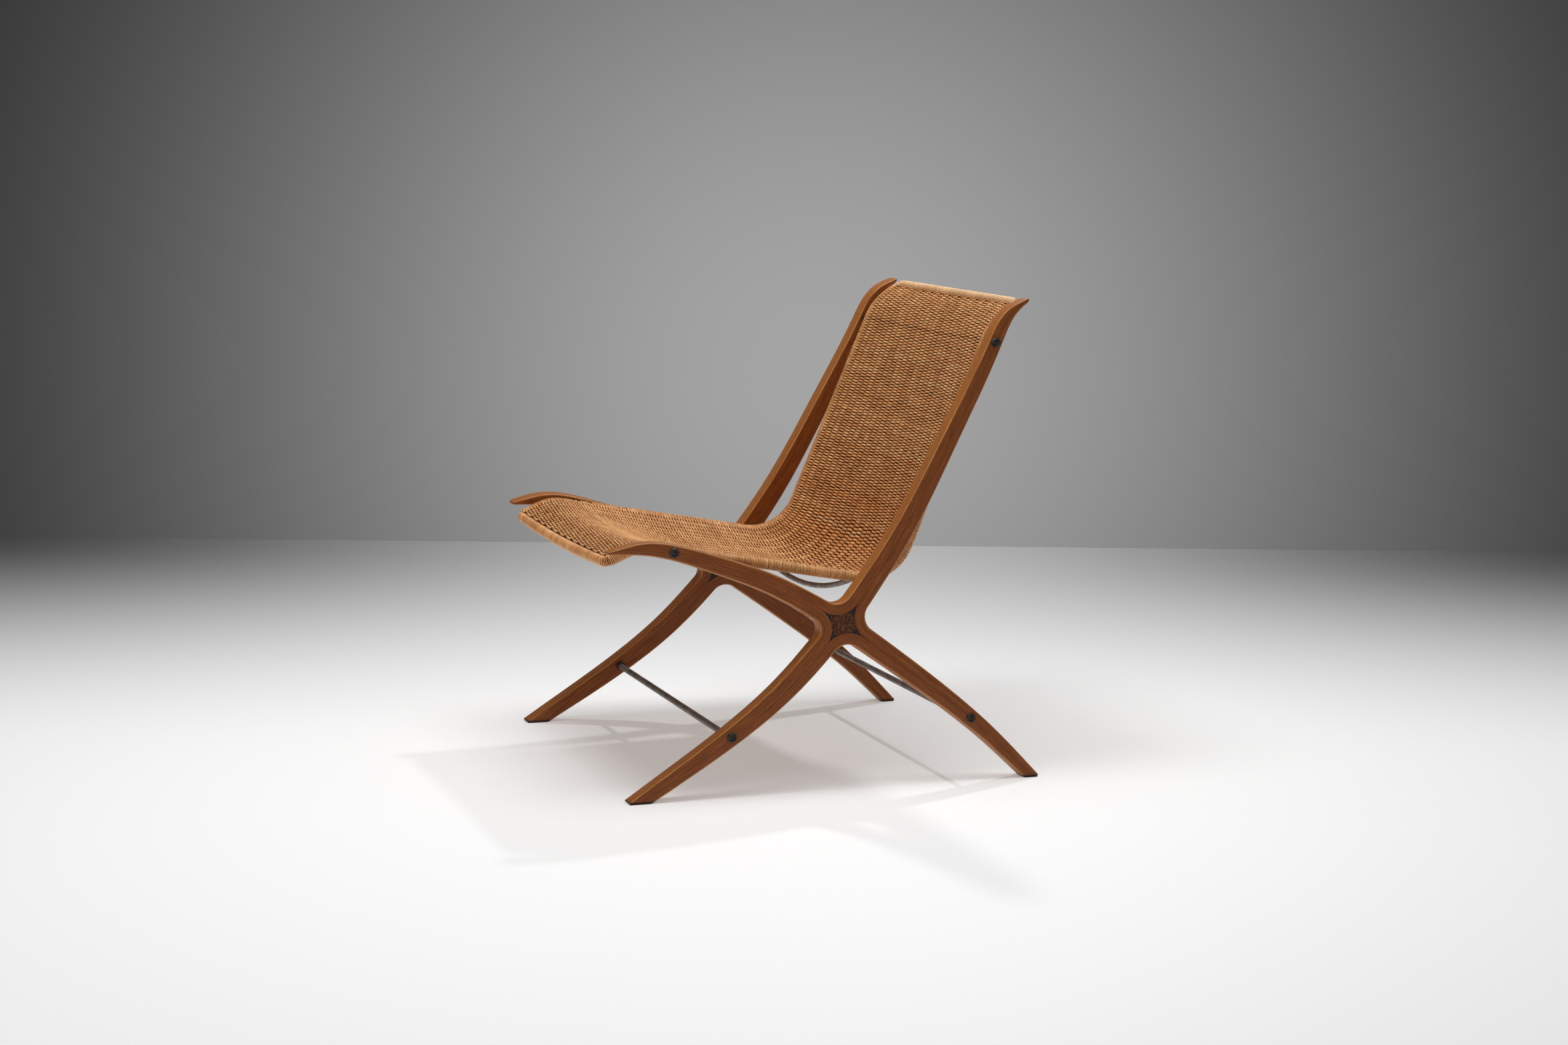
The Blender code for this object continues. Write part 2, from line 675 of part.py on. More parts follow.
def make_side_rail(side, parent, profile, holes, places):
    """Side rail with its screw holes, and the cane wound round it with room for the bushes and the brace."""
    name = SIDE_NAMES[side]
    inset = -side * RAIL_INSET
    path = profile.path(CORNER_RADIUS + CORNER_STRAIGHT + FIT_CLEARANCE / 2)
    rail = make_object(f"{name}_side_rail", tube(path, RAIL_RADIUS, ROD_SIDES), STEEL, parent)
    rail.location.x = inset
    wound = tube(path, WRAP_RADIUS, ROD_SIDES, RAIL_RADIUS + FIT_CLEARANCE)
    wrap = make_object(f"{name}_edge_wrap", wound, CANE, parent)
    wrap.location.x = inset
    for hole in holes:
        cut(rail, hole)
    for k, place in enumerate(places):
        end = (side * (RAIL_INSET - FRAME_THICKNESS), 0.0, 0.0)
        room = bar_between((0.0, 0.0, 0.0), end, BUSH_DIAMETER / 2 + FIT_CLEARANCE)
        cutter = make_cutter(f"{name}_bush_room_{k}", room, parent)
        cutter.location = (inset, *place)
        cut(wrap, cutter)
    end, inward = brace_path(profile)[0] if side == LEFT else brace_path(profile)[-1]
    inward = inward * side
    brace_room = BRACE_DIAMETER / 2 + FIT_CLEARANCE
    room = bar_between(end - inward * RAIL_RADIUS, end + inward * RAIL_DIAMETER, brace_room)
    cut(wrap, make_cutter(f"{name}_brace_room", room))


def brace_path(profile):
    """Bowed brace from one side rail to the other, ending on the rails' skins, clear of the cane."""
    end = rail_place(LEFT, *profile.brace)
    drop = BRACE_DIAMETER / 2 - CANE_ABOVE_RAIL + 2 * FIT_CLEARANCE
    bow = SEAT_DISH + BRACE_BELOW_CANE
    points = []
    for across in np.linspace(1.0, -1.0, CURVE_SAMPLES):
        points.append((end.x * across, end.y, end.z - drop - bow * (1.0 - across ** 2)))
    curve = np.array(points)
    reach = lengths_along(curve)
    start = RAIL_RADIUS + FIT_CLEARANCE
    even = np.linspace(start, reach[-1] - start, BRACE_STATIONS)
    places = np.stack([np.interp(even, reach, column) for column in curve.T], axis=1)
    return with_tangents([Vector(place) for place in places])


def dish_depth(reach, length):
    """How far the middle of the cane hangs below its side rails."""
    rise = np.clip(reach / SEAT_DISH_RUN, 0.0, 1.0)
    seat = FRONT_SAG + (SEAT_DISH - FRONT_SAG) * rise * rise * (3.0 - 2.0 * rise)
    up_back = np.clip((reach / length - BACK_DISH_START) / BACK_DISH_RUN, 0.0, 1.0)
    body = seat + (BACK_DISH - SEAT_DISH) * up_back * up_back * (3.0 - 2.0 * up_back)
    end = np.clip((length - reach) / (TOP_DISH_RUN * length), 0.0, 1.0)
    return body * end * (2.0 - end)


def panel_edge_inset(from_end, binding_radius):
    """Room that the rails' round corners and wraps take from the side of the cane, near one end."""
    along_wrap = math.sqrt((WRAP_RADIUS + CANE_CLEARANCE) ** 2 - CANE_ABOVE_RAIL ** 2)
    inner = max(CORNER_RADIUS - binding_radius - CANE_CLEARANCE, 0.0)
    short = max(CORNER_RADIUS - from_end, 0.0)
    if short == 0.0:
        return along_wrap
    return max(along_wrap, CORNER_RADIUS - math.sqrt(max(inner ** 2 - short ** 2, 0.0)))


def make_cane_panel(profile):
    """Woven seat and back: a dished sheet between the bound rails, each pair of rows a ridge on the sitter's side."""
    dense = profile.even_points()
    reach = lengths_along(dense)
    length = reach[-1]
    slope = np.gradient(dense, axis=0)
    slope /= np.linalg.norm(slope, axis=1)[:, None]
    front_radius = RAIL_RADIUS + FRONT_BINDING_THICKNESS
    top_radius = RAIL_RADIUS + TOP_BINDING_THICKNESS
    front_room = front_radius + CANE_CLEARANCE
    top_room = top_radius + CANE_CLEARANCE
    ridge_count = round((length - front_room - top_room) / ROW_PAIR_PITCH)
    stations = np.linspace(front_room, length - top_room, 2 * ridge_count + 1)
    straddle = 1.0 / (2.0 * PANEL_COLUMNS ** 2)
    bm = bmesh.new()

    def points_across(station, height):
        """Corners across the sheet at one station, set so that its facets straddle the true dish."""
        y, z = (np.interp(station, reach, column) for column in dense.T)
        along = Vector([0.0, *(np.interp(station, reach, column) for column in slope.T)])
        edge = rail_place(LEFT, y, z)
        upward = Vector((1.0, 0.0, 0.0)).cross(along)
        inset = max(panel_edge_inset(station, front_radius), panel_edge_inset(length - station, top_radius))
        sag = float(dish_depth(station, length))
        row = []
        for k in range(PANEL_COLUMNS + 1):
            across = 1.0 - 2.0 * k / PANEL_COLUMNS
            hang = sag * (1.0 - across ** 2)
            if 0 < k < PANEL_COLUMNS:
                hang += sag * straddle
            place = Vector((across * (edge.x - inset), edge.y, edge.z))
            row.append(bm.verts.new(place + upward * (height - hang)))
        return row

    upper = []
    for k, station in enumerate(stations):
        hollow = RIDGE_RELIEF if k % 2 == 0 else 0.0
        upper.append(points_across(station, CANE_ABOVE_RAIL + CANE_THICKNESS - hollow))
    last = 2 * ridge_count
    spans = sorted({*range(0, last, 2 * RIDGES_PER_SPAN), 2, 4, last - 4, last - 2, last})
    lower = [points_across(stations[k], CANE_ABOVE_RAIL) for k in spans]
    for face in (upper, lower):
        for row, following in zip(face, face[1:]):
            for k in range(PANEL_COLUMNS):
                bm.faces.new((row[k], row[k + 1], following[k + 1], following[k]))
    for i, (start, end) in enumerate(zip(spans, spans[1:])):
        for edge in (0, -1):
            rim = [row[edge] for row in upper[start:end + 1]]
            bm.faces.new([lower[i + 1][edge], lower[i][edge], *rim])
    bm.faces.new(upper[0] + lower[0][::-1])
    bm.faces.new(upper[-1] + lower[-1][::-1])
    bmesh.ops.recalc_face_normals(bm, faces=bm.faces)
    make_object("cane_panel", bm, CANE)


def make_stretcher(name, place, holes):
    left = to_world(LEFT, FRAME_THICKNESS + BUSH_LENGTH + FIT_CLEARANCE, *place)
    right = Vector((-left.x, left.y, left.z))
    rod = make_object(name, bar_between(left, right, STRETCHER_DIAMETER / 2), STEEL)
    for hole in holes:
        cut(rod, hole)


clear_scene()
ARMS = {
    "front_leg": make_leg(FRONT_LEG_BENDS, FRONT_FOOT_Y, FRONT_FOOT_DEPTH),
    "seat": Arm(SEAT_ARM_BENDS, SEAT_ARM_TIP, horn_half_depth(SEAT_SCREW_FROM_TIP)),
    "back": Arm(BACK_POST_BENDS, BACK_POST_TIP, horn_half_depth(BACK_SCREW_FROM_TIP)),
    "rear_leg": make_leg(REAR_LEG_BENDS, REAR_FOOT_Y, REAR_FOOT_DEPTH)}
CURVES = {
    "front": InsideCurve(ARMS["front_leg"], ARMS["seat"], FRONT_CURVE_RADIUS),
    "top": InsideCurve(ARMS["seat"], ARMS["back"], SEAT_CURVE_RADIUS),
    "rear": InsideCurve(ARMS["back"], ARMS["rear_leg"], REAR_CURVE_RADIUS),
    "arch": InsideCurve(ARMS["rear_leg"], ARMS["front_leg"], ARCH_RADIUS)}
PLACES = {
    "seat": ARMS["seat"].point(SEAT_SCREW_FROM_TIP),
    "back": ARMS["back"].point(BACK_SCREW_FROM_TIP),
    "front_leg": ARMS["front_leg"].point(FOOT_OVERLENGTH + FRONT_LEG_SCREW_FROM_FOOT),
    "rear_leg": ARMS["rear_leg"].point(FOOT_OVERLENGTH + REAR_LEG_SCREW_FROM_FOOT)}
SPACERS = {
    "seat": "seat_bush", "back": "back_bush", "front_leg": "front_ferrule", "rear_leg": "rear_ferrule"}
HELD_BY = {
    "seat": ("front", "top"), "back": ("top", "rear"),
    "front_leg": ("arch", "front"), "rear_leg": ("rear", "arch")}
PROFILE = ShellProfile(PLACES["seat"], PLACES["back"])

rod_holes = {"front_leg": [], "rear_leg": []}
for side in (LEFT, RIGHT):
    frame = make_side_empty(side)
    members = make_side_frame(side, frame, CURVES)
    rail_holes = []
    for label, place in PLACES.items():
        hole = make_fastening(side, frame, label, SPACERS[label], place)
        for member in HELD_BY[label]:
            cut(members[member], hole)
        if label in rod_holes:
            rod_holes[label].append(hole)
        else:
            rail_holes.append(hole)
    make_side_rail(side, frame, PROFILE, rail_holes, [PLACES["seat"], PLACES["back"]])

make_cross_rail("front", PROFILE.front, PROFILE.front_back, FRONT_SAG, FRONT_BINDING_THICKNESS)
make_cross_rail("top", PROFILE.top, PROFILE.top_back, 0.0, TOP_BINDING_THICKNESS)
make_object("seat_brace", tube(brace_path(PROFILE), BRACE_DIAMETER / 2, ROD_SIDES), STEEL)
make_cane_panel(PROFILE)
make_stretcher("front_stretcher", PLACES["front_leg"], rod_holes["front_leg"])
make_stretcher("rear_stretcher", PLACES["rear_leg"], rod_holes["rear_leg"])
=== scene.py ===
"""Looks of a lounge chair: laminated X frames, a woven cane shell, steel rods and blackened screws.

Laid out as an add-on and run as a script. Metres, +Z up, the sitter faces -Y, and left is at +X.
Each side frame is drawn flat in its own plane, as (y, z), and leans inwards on the floor.
"""

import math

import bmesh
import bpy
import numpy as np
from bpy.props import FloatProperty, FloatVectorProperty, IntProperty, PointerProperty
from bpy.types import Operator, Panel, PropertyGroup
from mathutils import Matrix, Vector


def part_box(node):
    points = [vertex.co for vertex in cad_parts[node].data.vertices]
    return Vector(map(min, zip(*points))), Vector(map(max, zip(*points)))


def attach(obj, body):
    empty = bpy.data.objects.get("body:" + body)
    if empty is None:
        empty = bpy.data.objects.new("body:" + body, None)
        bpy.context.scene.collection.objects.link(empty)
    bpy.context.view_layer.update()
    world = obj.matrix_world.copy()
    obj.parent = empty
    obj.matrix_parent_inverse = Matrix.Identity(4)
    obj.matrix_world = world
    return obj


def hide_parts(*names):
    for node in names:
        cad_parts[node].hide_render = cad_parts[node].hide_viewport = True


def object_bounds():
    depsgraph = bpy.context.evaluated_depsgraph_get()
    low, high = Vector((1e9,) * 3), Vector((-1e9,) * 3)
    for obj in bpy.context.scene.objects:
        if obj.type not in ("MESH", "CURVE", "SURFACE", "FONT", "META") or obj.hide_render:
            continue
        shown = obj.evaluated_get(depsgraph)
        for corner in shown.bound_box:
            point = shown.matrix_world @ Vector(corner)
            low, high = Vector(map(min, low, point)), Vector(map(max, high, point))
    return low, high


bl_info = {
    "name": "Cane lounge chair",
    "version": (1, 0, 0),
    "blender": (4, 5, 0),
    "location": "View3D > Sidebar > Chair",
    "description": "Dresses the lounge chair in laminated wood, woven cane and steel",
    "category": "Object",
}

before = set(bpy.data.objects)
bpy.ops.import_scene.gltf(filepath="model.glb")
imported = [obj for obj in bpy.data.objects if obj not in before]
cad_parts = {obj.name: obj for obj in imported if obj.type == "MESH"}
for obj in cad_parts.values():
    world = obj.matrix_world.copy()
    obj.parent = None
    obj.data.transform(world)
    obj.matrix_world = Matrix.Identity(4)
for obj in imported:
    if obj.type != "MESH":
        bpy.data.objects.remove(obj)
CAD_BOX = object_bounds()
BODY = "root"
LEFT = 1
RIGHT = -1
SIDE_NAMES = {LEFT: "left", RIGHT: "right"}
SEED = 7

# Side frames, as in the solids
FLOOR_WIDTH = CAD_BOX[1].x - CAD_BOX[0].x
FRAME_LEAN = math.radians(2.3)
FRAME_THICKNESS = 0.028
GLUE_LINE = 0.00012
CROSSING = (0.021, 0.247)
SEAT_ARM_TIP = (-0.3345, 0.364)
SEAT_ARM_BENDS = ((-0.0875, 0.309), (-0.1885, 0.347), (-0.2795, 0.3685))
BACK_POST_TIP = (0.3165, 0.718)
BACK_POST_BENDS = ((0.1125, 0.375), (0.192, 0.519), (0.2605, 0.654), (0.2865, 0.698))
FRONT_FOOT_Y = -0.293
FRONT_LEG_BENDS = ((-0.0685, 0.1535), (-0.151, 0.090))
REAR_FOOT_Y = 0.3245
REAR_LEG_BENDS = ((0.1615, 0.145), (0.2605, 0.063))
FOOT_OVERLENGTH = 0.040
ARM_DEPTH = 0.035
HORN_DEPTH = 0.0225
HORN_NOSE = 0.0016
HORN_BLUNTNESS = 0.08
SEAT_HORN_SWELL = 0.098
BACK_HORN_SWELL = 0.087
FRONT_FOOT_DEPTH = 0.019
REAR_FOOT_DEPTH = 0.0165
LEG_TAPER = 1.4
TOE_HEIGHT = 0.0028
SEAT_CURVE_RADIUS = 0.025
REAR_CURVE_RADIUS = 0.024
ARCH_RADIUS = 0.025
FRONT_CURVE_RADIUS = 0.018
KEY_NOSE = 0.0008
KEY_RECESS = 0.0004

# Skin of the laminations: shares of depth and tip rounding, step from grain to grain, strength of stripes
EDGE_LIMIT = 0.7
TIP_NARROWING = 0.8
MEMBER_STEP = 20.0
STRIPES = {"front": 0.6, "top": 0.25, "rear": 0.55, "arch": 0.55}

# Cane shell, as in the solids; its side profile is the middle of its side rails
RAIL_RADIUS = 0.005
SHELL_GAP = 0.0095
RAIL_INSET = FRAME_THICKNESS + SHELL_GAP + RAIL_RADIUS
SEAT_PITCH = math.radians(10.0)
SEAT_AHEAD_OF_SCREW = 0.0186
FRONT_DROP = math.radians(24.0)
FRONT_LIP = 0.0115
BACK_ANGLE = math.radians(67.8)
BACK_ABOVE_SCREW = 0.0028
TOP_ROLL = math.radians(36.0)
TOP_LIP = 0.0098
CREST_RADIUS = 0.070
SEAT_BEND_RADIUS = 0.078
TOP_ROLL_RADIUS = 0.085
CORNER_RADIUS = 0.018
CORNER_STRAIGHT = 0.002
WRAP_THICKNESS = 0.002
FRONT_BINDING_THICKNESS = 0.0029
TOP_BINDING_THICKNESS = 0.0023
FRONT_SAG = 0.0065
SEAT_DISH = 0.031
BACK_DISH = 0.020
SEAT_DISH_RUN = 0.240
BACK_DISH_START = 0.45
BACK_DISH_RUN = 0.25
TOP_DISH_RUN = 0.30
CANE_MIDDLE = 0.0050

# Screws, cup washers and spacers, where the boxes of their solids don't say
SCREW_HEAD_RADIUS = 0.0044
SCREW_SHANK_RADIUS = 0.0025
SCREW_HEAD_RISE = 0.0005
SCREW_HEAD_DEPTH = 0.0024
SCREW_RIM = 0.0002
RECESS_LENGTH = 0.0052
RECESS_WIDTH = 0.0011
RECESS_HEIGHT = 0.0028
WASHER_MOUTH = 0.0050
WASHER_HOLE = 0.0031
WASHER_SHEET = 0.0003
WASHER_LIP = 0.0002
SPACER_BORE = 0.0028
SPACER_FILLET = 0.0012

# Small ways of the cane; shares are of the distance between two warps, as a start and a run from the rail
HOOK_LIFT = 0.0006
STEEPEST_MEET = 0.95
HOOK_END = -1.5
ROW_WOBBLE = 0.0001
TWINE_SPREAD = 0.0020
TWINE_RISE = 0.0012
EDGE_GIRTH = 0.46
STRETCH_STEP = 0.004
EDGE_WARP = 0.6
FRONT_LAP = 0.6
LAP_LIFT = 0.0004
WARP_DEPTH = 0.0006
SWING_SHARES = (0.1, 0.45)
GIRTH_SHARES = (0.25, 0.4)
GIRTH_SPREAD = 0.05
GIRTH_RIPPLE = 0.04
WARP_SPREAD = 0.08
WOBBLE_WAVES = (4.0, 9.0)
WOBBLE_START = 6.0
RIPPLE_TURNS = (10.0, 30.0)
TWINE_TONES = (0.3, 0.8)
LOOSE_ENDS = ((0.090, 0.006), (0.108, 0.008), (0.166, 0.009))
LOOSE_TAIL = 0.005
LOOSE_SLIDE = 0.8
EDGE_TILT = 0.05
EDGE_LOOSENESS = 0.03
BINDING_TILT = 0.03
BINDING_LOOSENESS = 0.015
BINDING_RUN = 3.0

# Patterns of the materials, in repeats to the metre; three are along the grain, across it and through it.
# Veneers waver over 110 mm. Streaks are 42 mm long and 1.4 mm wide, pores 5.6 mm long and 0.5 mm wide.
# Cane fibres run along the woven rows and are 0.6 mm wide, and patches of patina are about 33 mm across.
# Specks on the keys are 1.6 mm, blotches on the metal 14 mm and dust on the rubber 1.4 mm.
# Pores, fibres and dust are coarser than real ones, which would be too fine to show.
VENEER_WAVER = (9.0, 9.0, 9.0)
WOOD_STREAKS = (24.0, 700.0, 420.0)
WOOD_PORES = (180.0, 2200.0, 1300.0)
CANE_FIBRES = (60.0, 1600.0, 1600.0)
CANE_PATCHES = 30.0
KEY_SPECKLE = 620.0
KEY_PATCHES = 260.0
METAL_BLOTCHES = 70.0
RUBBER_DUST = 700.0

# How far a veneer drifts, and how high the darkening above the soles reaches, in part and in full
VENEER_DRIFT = 0.0009
SOLE_DARKENING_TOP = 0.0052
SOLE_DARKENING_FULL = 0.0028

# Second colours of the materials
# Colour that the wood darkens to just above the floor
SOLE_DARKENING = "#1a100a"
KEY_PORES = "#2e1a0f"
KEY_RUST = "#8a5228"
KEY_GAP = "#241b17"
KEY_FILLER = "#a2968c"
BLACKENED_DARK = "#151210"
STEEL_DARK = "#675c53"
DUST = "#4a3d35"

# Camera of the photograph, in pixels of its own frame where a value says so
PHOTO_WIDTH = 2352
FOCAL_PIXELS = 4360.0
SENSOR_WIDTH = 36.0
CAMERA_PLACE = (4.22698, -1.44505, 0.98451)
CAMERA_TARGET = (0.014, 0.0272, 0.3577)
CAMERA_ROLL = math.radians(0.5724)

# Studio
FLOOR_RADIUS = 9.0
WALL_DISTANCE = 2.18
WALL_HEIGHT = 5.0
# The wall glows, with a painted pool of light behind the chair.
WALL_POOL_HEIGHT = 0.40
WALL_POOL_RADIUS = 0.92
WALL_POOL_SHIFT = 0.07
# The floor glows with painted light that lifts its shadows; its pale middle fading to the far colours towards
# the wall is a painted pool of light.
FLOOR_GLOW = 0.33
FLOOR_DIM_START = -0.1
FLOOR_PALE = "#ececec"
FLOOR_FAR = ("#202020", "#b6b6b6")
WALL_GREYS = ("#1c1c1c", "#a4a4a4")
SKY_STRENGTH = 0.22

# Place, target, width and power of each lamp
LAMPS = {
    "key": ((0.3, -0.8, 2.8), (0.0, 0.0, 0.2), 0.9, 22.0),
    "bank": ((0.3, 0.1, 2.8), (0.0, 0.0, 0.3), 1.7, 27.0),
    "far": ((-1.3, 0.92, 2.4), (0.0, 0.0, 0.2), 0.16, 15.0),
    "fill": ((2.6, -2.4, 1.3), (0.0, 0.0, 0.4), 1.6, 9.0)}

# Fineness of the meshes
CURVE_SAMPLES = 240
OVERSAMPLING = 8
PARALLEL_AREA = 1e-15
ARM_STATIONS = 64
TIP_CROWDING = 1.5
BEND_STATIONS = 26
EDGE_STATIONS = 7
ROD_SIDES = 28
STRETCHER_STATIONS = 40
BRACE_STATIONS = 80
TURNED_SIDES = 40
HEAD_STATIONS = 8
RIM_STATIONS = 9
FILLET_STATIONS = 5
FLOOR_SIDES = 96
ARC_STATIONS = 22
STEPS_PER_WARP = 6
STRAND_SIDES = 6
HOOK_STATIONS = 8
TWINE_STEPS = 6
WOUND_SIDES = 18
SMOOTH_ANGLE = math.radians(40.0)


def linear(code):
    """Linear colour with alpha from an sRGB hex code."""
    values = [int(code[i:i + 2], 16) / 255.0 for i in (1, 3, 5)]
    return (*[v / 12.92 if v <= 0.04045 else ((v + 0.055) / 1.055) ** 2.4 for v in values], 1.0)


def length(name, default, description):
    return FloatProperty(
        name=name, description=description, default=default, min=0.0, unit="LENGTH", precision=5)


def colour(name, code, description):
    return FloatVectorProperty(
        name=name, description=description, default=linear(code), size=4, min=0.0, max=1.0, subtype="COLOR")


class ChairWoodSizes(PropertyGroup):
    """Sizes of the laminated wood that show on its surface."""
    edge_radius: length("Edge radius", 0.0034, "Rounding between a side face and an open face")
    crown: length("Crown", 0.0006, "Rise of an open face at its middle")
    tip_rounding: length("Tip rounding", 0.010, "Rounding of the horns, seen from above")
    veneer: length("Veneer", 0.0017, "Thickness of one bent veneer")


class ChairCaneSizes(PropertyGroup):
    """Sizes of the cane strands and of the way they are woven and wound."""
    row_pitch: length("Row pitch", 0.00238, "Distance from one woven row to the next")
    warp_count: IntProperty(name="Warps", description="Strands from front to top", default=26, min=2)
    weft_width: length("Weft width", 0.0036, "Width of a woven strand")
    weft_thickness: length("Weft thickness", 0.0032, "Thickness of a woven strand")
    weft_rise: length("Weft rise", 0.0012, "How far a woven strand swings over and under the warps")
    weft_flatness: FloatProperty(
        name="Weft flatness", description="Below 1, strands run flatter over a warp", default=1.0, min=0.2)
    top_gap: length("Top gap", 0.0058, "Room for the twined strands below the top binding")
    twine_width: length("Twine width", 0.0026, "Width of a twined strand")
    warp_width: length("Warp width", 0.0070, "Width of a warp")
    warp_thickness: length("Warp thickness", 0.0012, "Thickness of a warp")
    wind_pitch: length("Winding pitch", 0.00235, "Distance from turn to turn on the side rails")
    wind_thickness: length("Winding thickness", 0.0018, "Thickness of a wound strand")


class ChairFinishes(PropertyGroup):
    """Colours of the chair's materials."""
    wood_side: colour("Wood, side", "#80441a", "Edges of the veneers on the side faces")
    wood_dark: colour("Wood, dark", "#47210d", "Dark veneers, pores and glue lines")
    wood_stripe: colour("Wood, stripe", "#aa6830", "Orange veneers between the brown ones")
    wood_face: colour("Wood, face", "#9b5e2a", "Face veneer on the open faces")
    # Pale band on the rounded edges: partly worn wood, partly painted highlight along the arrises.
    wood_worn_and_highlit: colour("Wood, worn", "#d8a066", "Worn edges and scuffs")
    key: colour("Key", "#5f361d", "End grain of the key")
    cane: colour("Cane", "#e09352", "Rubbed cane of the weave and the front binding")
    cane_pale: colour("Cane, pale", "#fbcd8d", "Palest strands")
    cane_patina: colour("Cane, patina", "#a25c28", "Cane that has reddened with use")
    # The stain colour is partly real stain in the hollows and partly painted shade, also on the warps.
    cane_stain_and_shade: colour("Cane, stain", "#4c1c09", "Dark stain in the hollows of the weave")
    binding: colour("Binding", "#e6b98a", "Cane wound round the top rail")
    steel: colour("Steel", "#8d8278", "Rods")
    blackened: colour("Blackened steel", "#493f38", "Screws and cup washers")
    rubber: colour("Rubber", "#1f1b19", "Bushes and ferrules")


def curve_through(points):
    """Smooth curve through a few points, sampled evenly along its length."""
    points = np.array(points, dtype=float)
    knots = lengths_along(points)
    count = len(points)
    system = np.eye(count)
    target = np.zeros_like(points)
    for i in range(1, count - 1):
        before = knots[i] - knots[i - 1]
        after = knots[i + 1] - knots[i]
        system[i, i - 1:i + 2] = before, 2.0 * (before + after), after
        target[i] = 6.0 * ((points[i + 1] - points[i]) / after - (points[i] - points[i - 1]) / before)
    bend = np.linalg.solve(system, target)
    dense = np.linspace(0.0, knots[-1], OVERSAMPLING * CURVE_SAMPLES)
    span = np.clip(np.searchsorted(knots, dense, side="right") - 1, 0, count - 2)
    width = (knots[span + 1] - knots[span])[:, None]
    far = ((knots[span + 1] - dense)[:, None]) / width
    near = 1.0 - far
    curve = far * points[span] + near * points[span + 1]
    curve += ((far ** 3 - far) * bend[span] + (near ** 3 - near) * bend[span + 1]) * width ** 2 / 6.0
    return resample(curve, CURVE_SAMPLES)


def lengths_along(curve):
    return np.concatenate([[0.0], np.cumsum(np.linalg.norm(np.diff(curve, axis=0), axis=1))])


def columns_at(places, reach, values):
    """Rows of a table interpolated at places along its reach."""
    return np.stack([np.interp(places, reach, column) for column in np.asarray(values).T], axis=-1)


def resample(curve, count):
    reach = lengths_along(curve)
    return columns_at(np.linspace(0.0, reach[-1], count), reach, curve)


def smoothstep(share):
    share = np.clip(share, 0.0, 1.0)
    return share * share * (3.0 - 2.0 * share)


def side_place(side, inset, y, z):
    """World place of points in a side frame, inset from its outer face."""
    x = side * (FLOOR_WIDTH / 2 - inset * math.cos(FRAME_LEAN) - z * math.sin(FRAME_LEAN))
    height = z * math.cos(FRAME_LEAN) - inset * math.sin(FRAME_LEAN)
    return np.stack(np.broadcast_arrays(x, y, height), axis=-1)


class Arm:
    """Mid line of one arm of the X from its tip to the crossing, with half its depth along the way."""

    def __init__(self, bends, tip, half_depth, is_horn):
        self.line = curve_through([CROSSING, *bends, tip])[::-1]
        self.reach = lengths_along(self.line)
        self.length = self.reach[-1]
        self.half = half_depth(self.reach, self.length)
        self.is_horn = is_horn
        inward = np.gradient(self.line, axis=0)
        self.outward = -inward / np.linalg.norm(inward, axis=1)[:, None]

    def normals(self, side):
        """Unit normals on the clockwise (1) or anticlockwise (-1) side, seen with +y to the right."""
        return side * np.stack([self.outward[:, 1], -self.outward[:, 0]], axis=1)

    def at(self, distance, values):
        return columns_at(distance, self.reach, values)

    def half_at(self, distance):
        return np.interp(distance, self.reach, self.half)


def horn_half_depth(swell_end):
    """Half depth of an arm that ends in a horn: a rounded nose, a swelling, then a straight taper."""
    def half_depth(reach, length):
        nose = HORN_NOSE * np.sqrt(1.0 - (1.0 - np.clip(reach / HORN_NOSE, HORN_BLUNTNESS, 1.0)) ** 2)
        swell = (HORN_DEPTH / 2 - HORN_NOSE) * (1.0 - (1.0 - np.clip(reach / swell_end, 0.0, 1.0)) ** 2)
        taper = np.clip((reach - swell_end) / (length - swell_end), 0.0, 1.0)
        return nose + swell + (ARM_DEPTH - HORN_DEPTH) / 2 * taper
    return half_depth


def leg_half_depth(foot_depth):
    """Half depth of an arm that ends in a foot."""
    def half_depth(reach, length):
        return (ARM_DEPTH - (ARM_DEPTH - foot_depth) * (1.0 - reach / length) ** LEG_TAPER) / 2
    return half_depth


def make_leg(bends, foot_y, foot_depth):
    """Leg arm whose mid line runs on below the floor, where the sole is cut."""
    foot = np.array((foot_y, 0.0))
    fall = foot - np.array(bends[-1])
    end = foot + fall / np.linalg.norm(fall) * FOOT_OVERLENGTH
    return Arm((*bends, tuple(foot)), tuple(end), leg_half_depth(foot_depth), False)


def toe_of(leg):
    """Point and direction of the cut that blunts the toe of a leg."""
    upward = leg.normals(1 if leg.outward[0, 0] < 0.0 else -1)
    upper = leg.line + upward * leg.half[:, None]
    above = int(np.argmax(upper[:, 1] > TOE_HEIGHT))
    return upper[above], leg.outward[above]


def polyline_crossing(first, second):
    """Place where two polylines cross, as a fractional index on each, and the point itself."""
    run = np.diff(second, axis=0)
    for i in range(len(first) - 1):
        step = first[i + 1] - first[i]
        gap = second[:-1] - first[i]
        area = step[0] * run[:, 1] - step[1] * run[:, 0]
        area = np.where(np.abs(area) < PARALLEL_AREA, PARALLEL_AREA, area)
        along_first = (gap[:, 0] * run[:, 1] - gap[:, 1] * run[:, 0]) / area
        along_second = (gap[:, 0] * step[1] - gap[:, 1] * step[0]) / area
        hits = (along_first >= 0) & (along_first < 1) & (along_second >= 0) & (along_second < 1)
        if hits.any():
            j = int(np.argmax(hits))
            return i + along_first[j], j + along_second[j], first[i] + along_first[j] * step
    raise ValueError("the inside curve does not fit between its two arms")


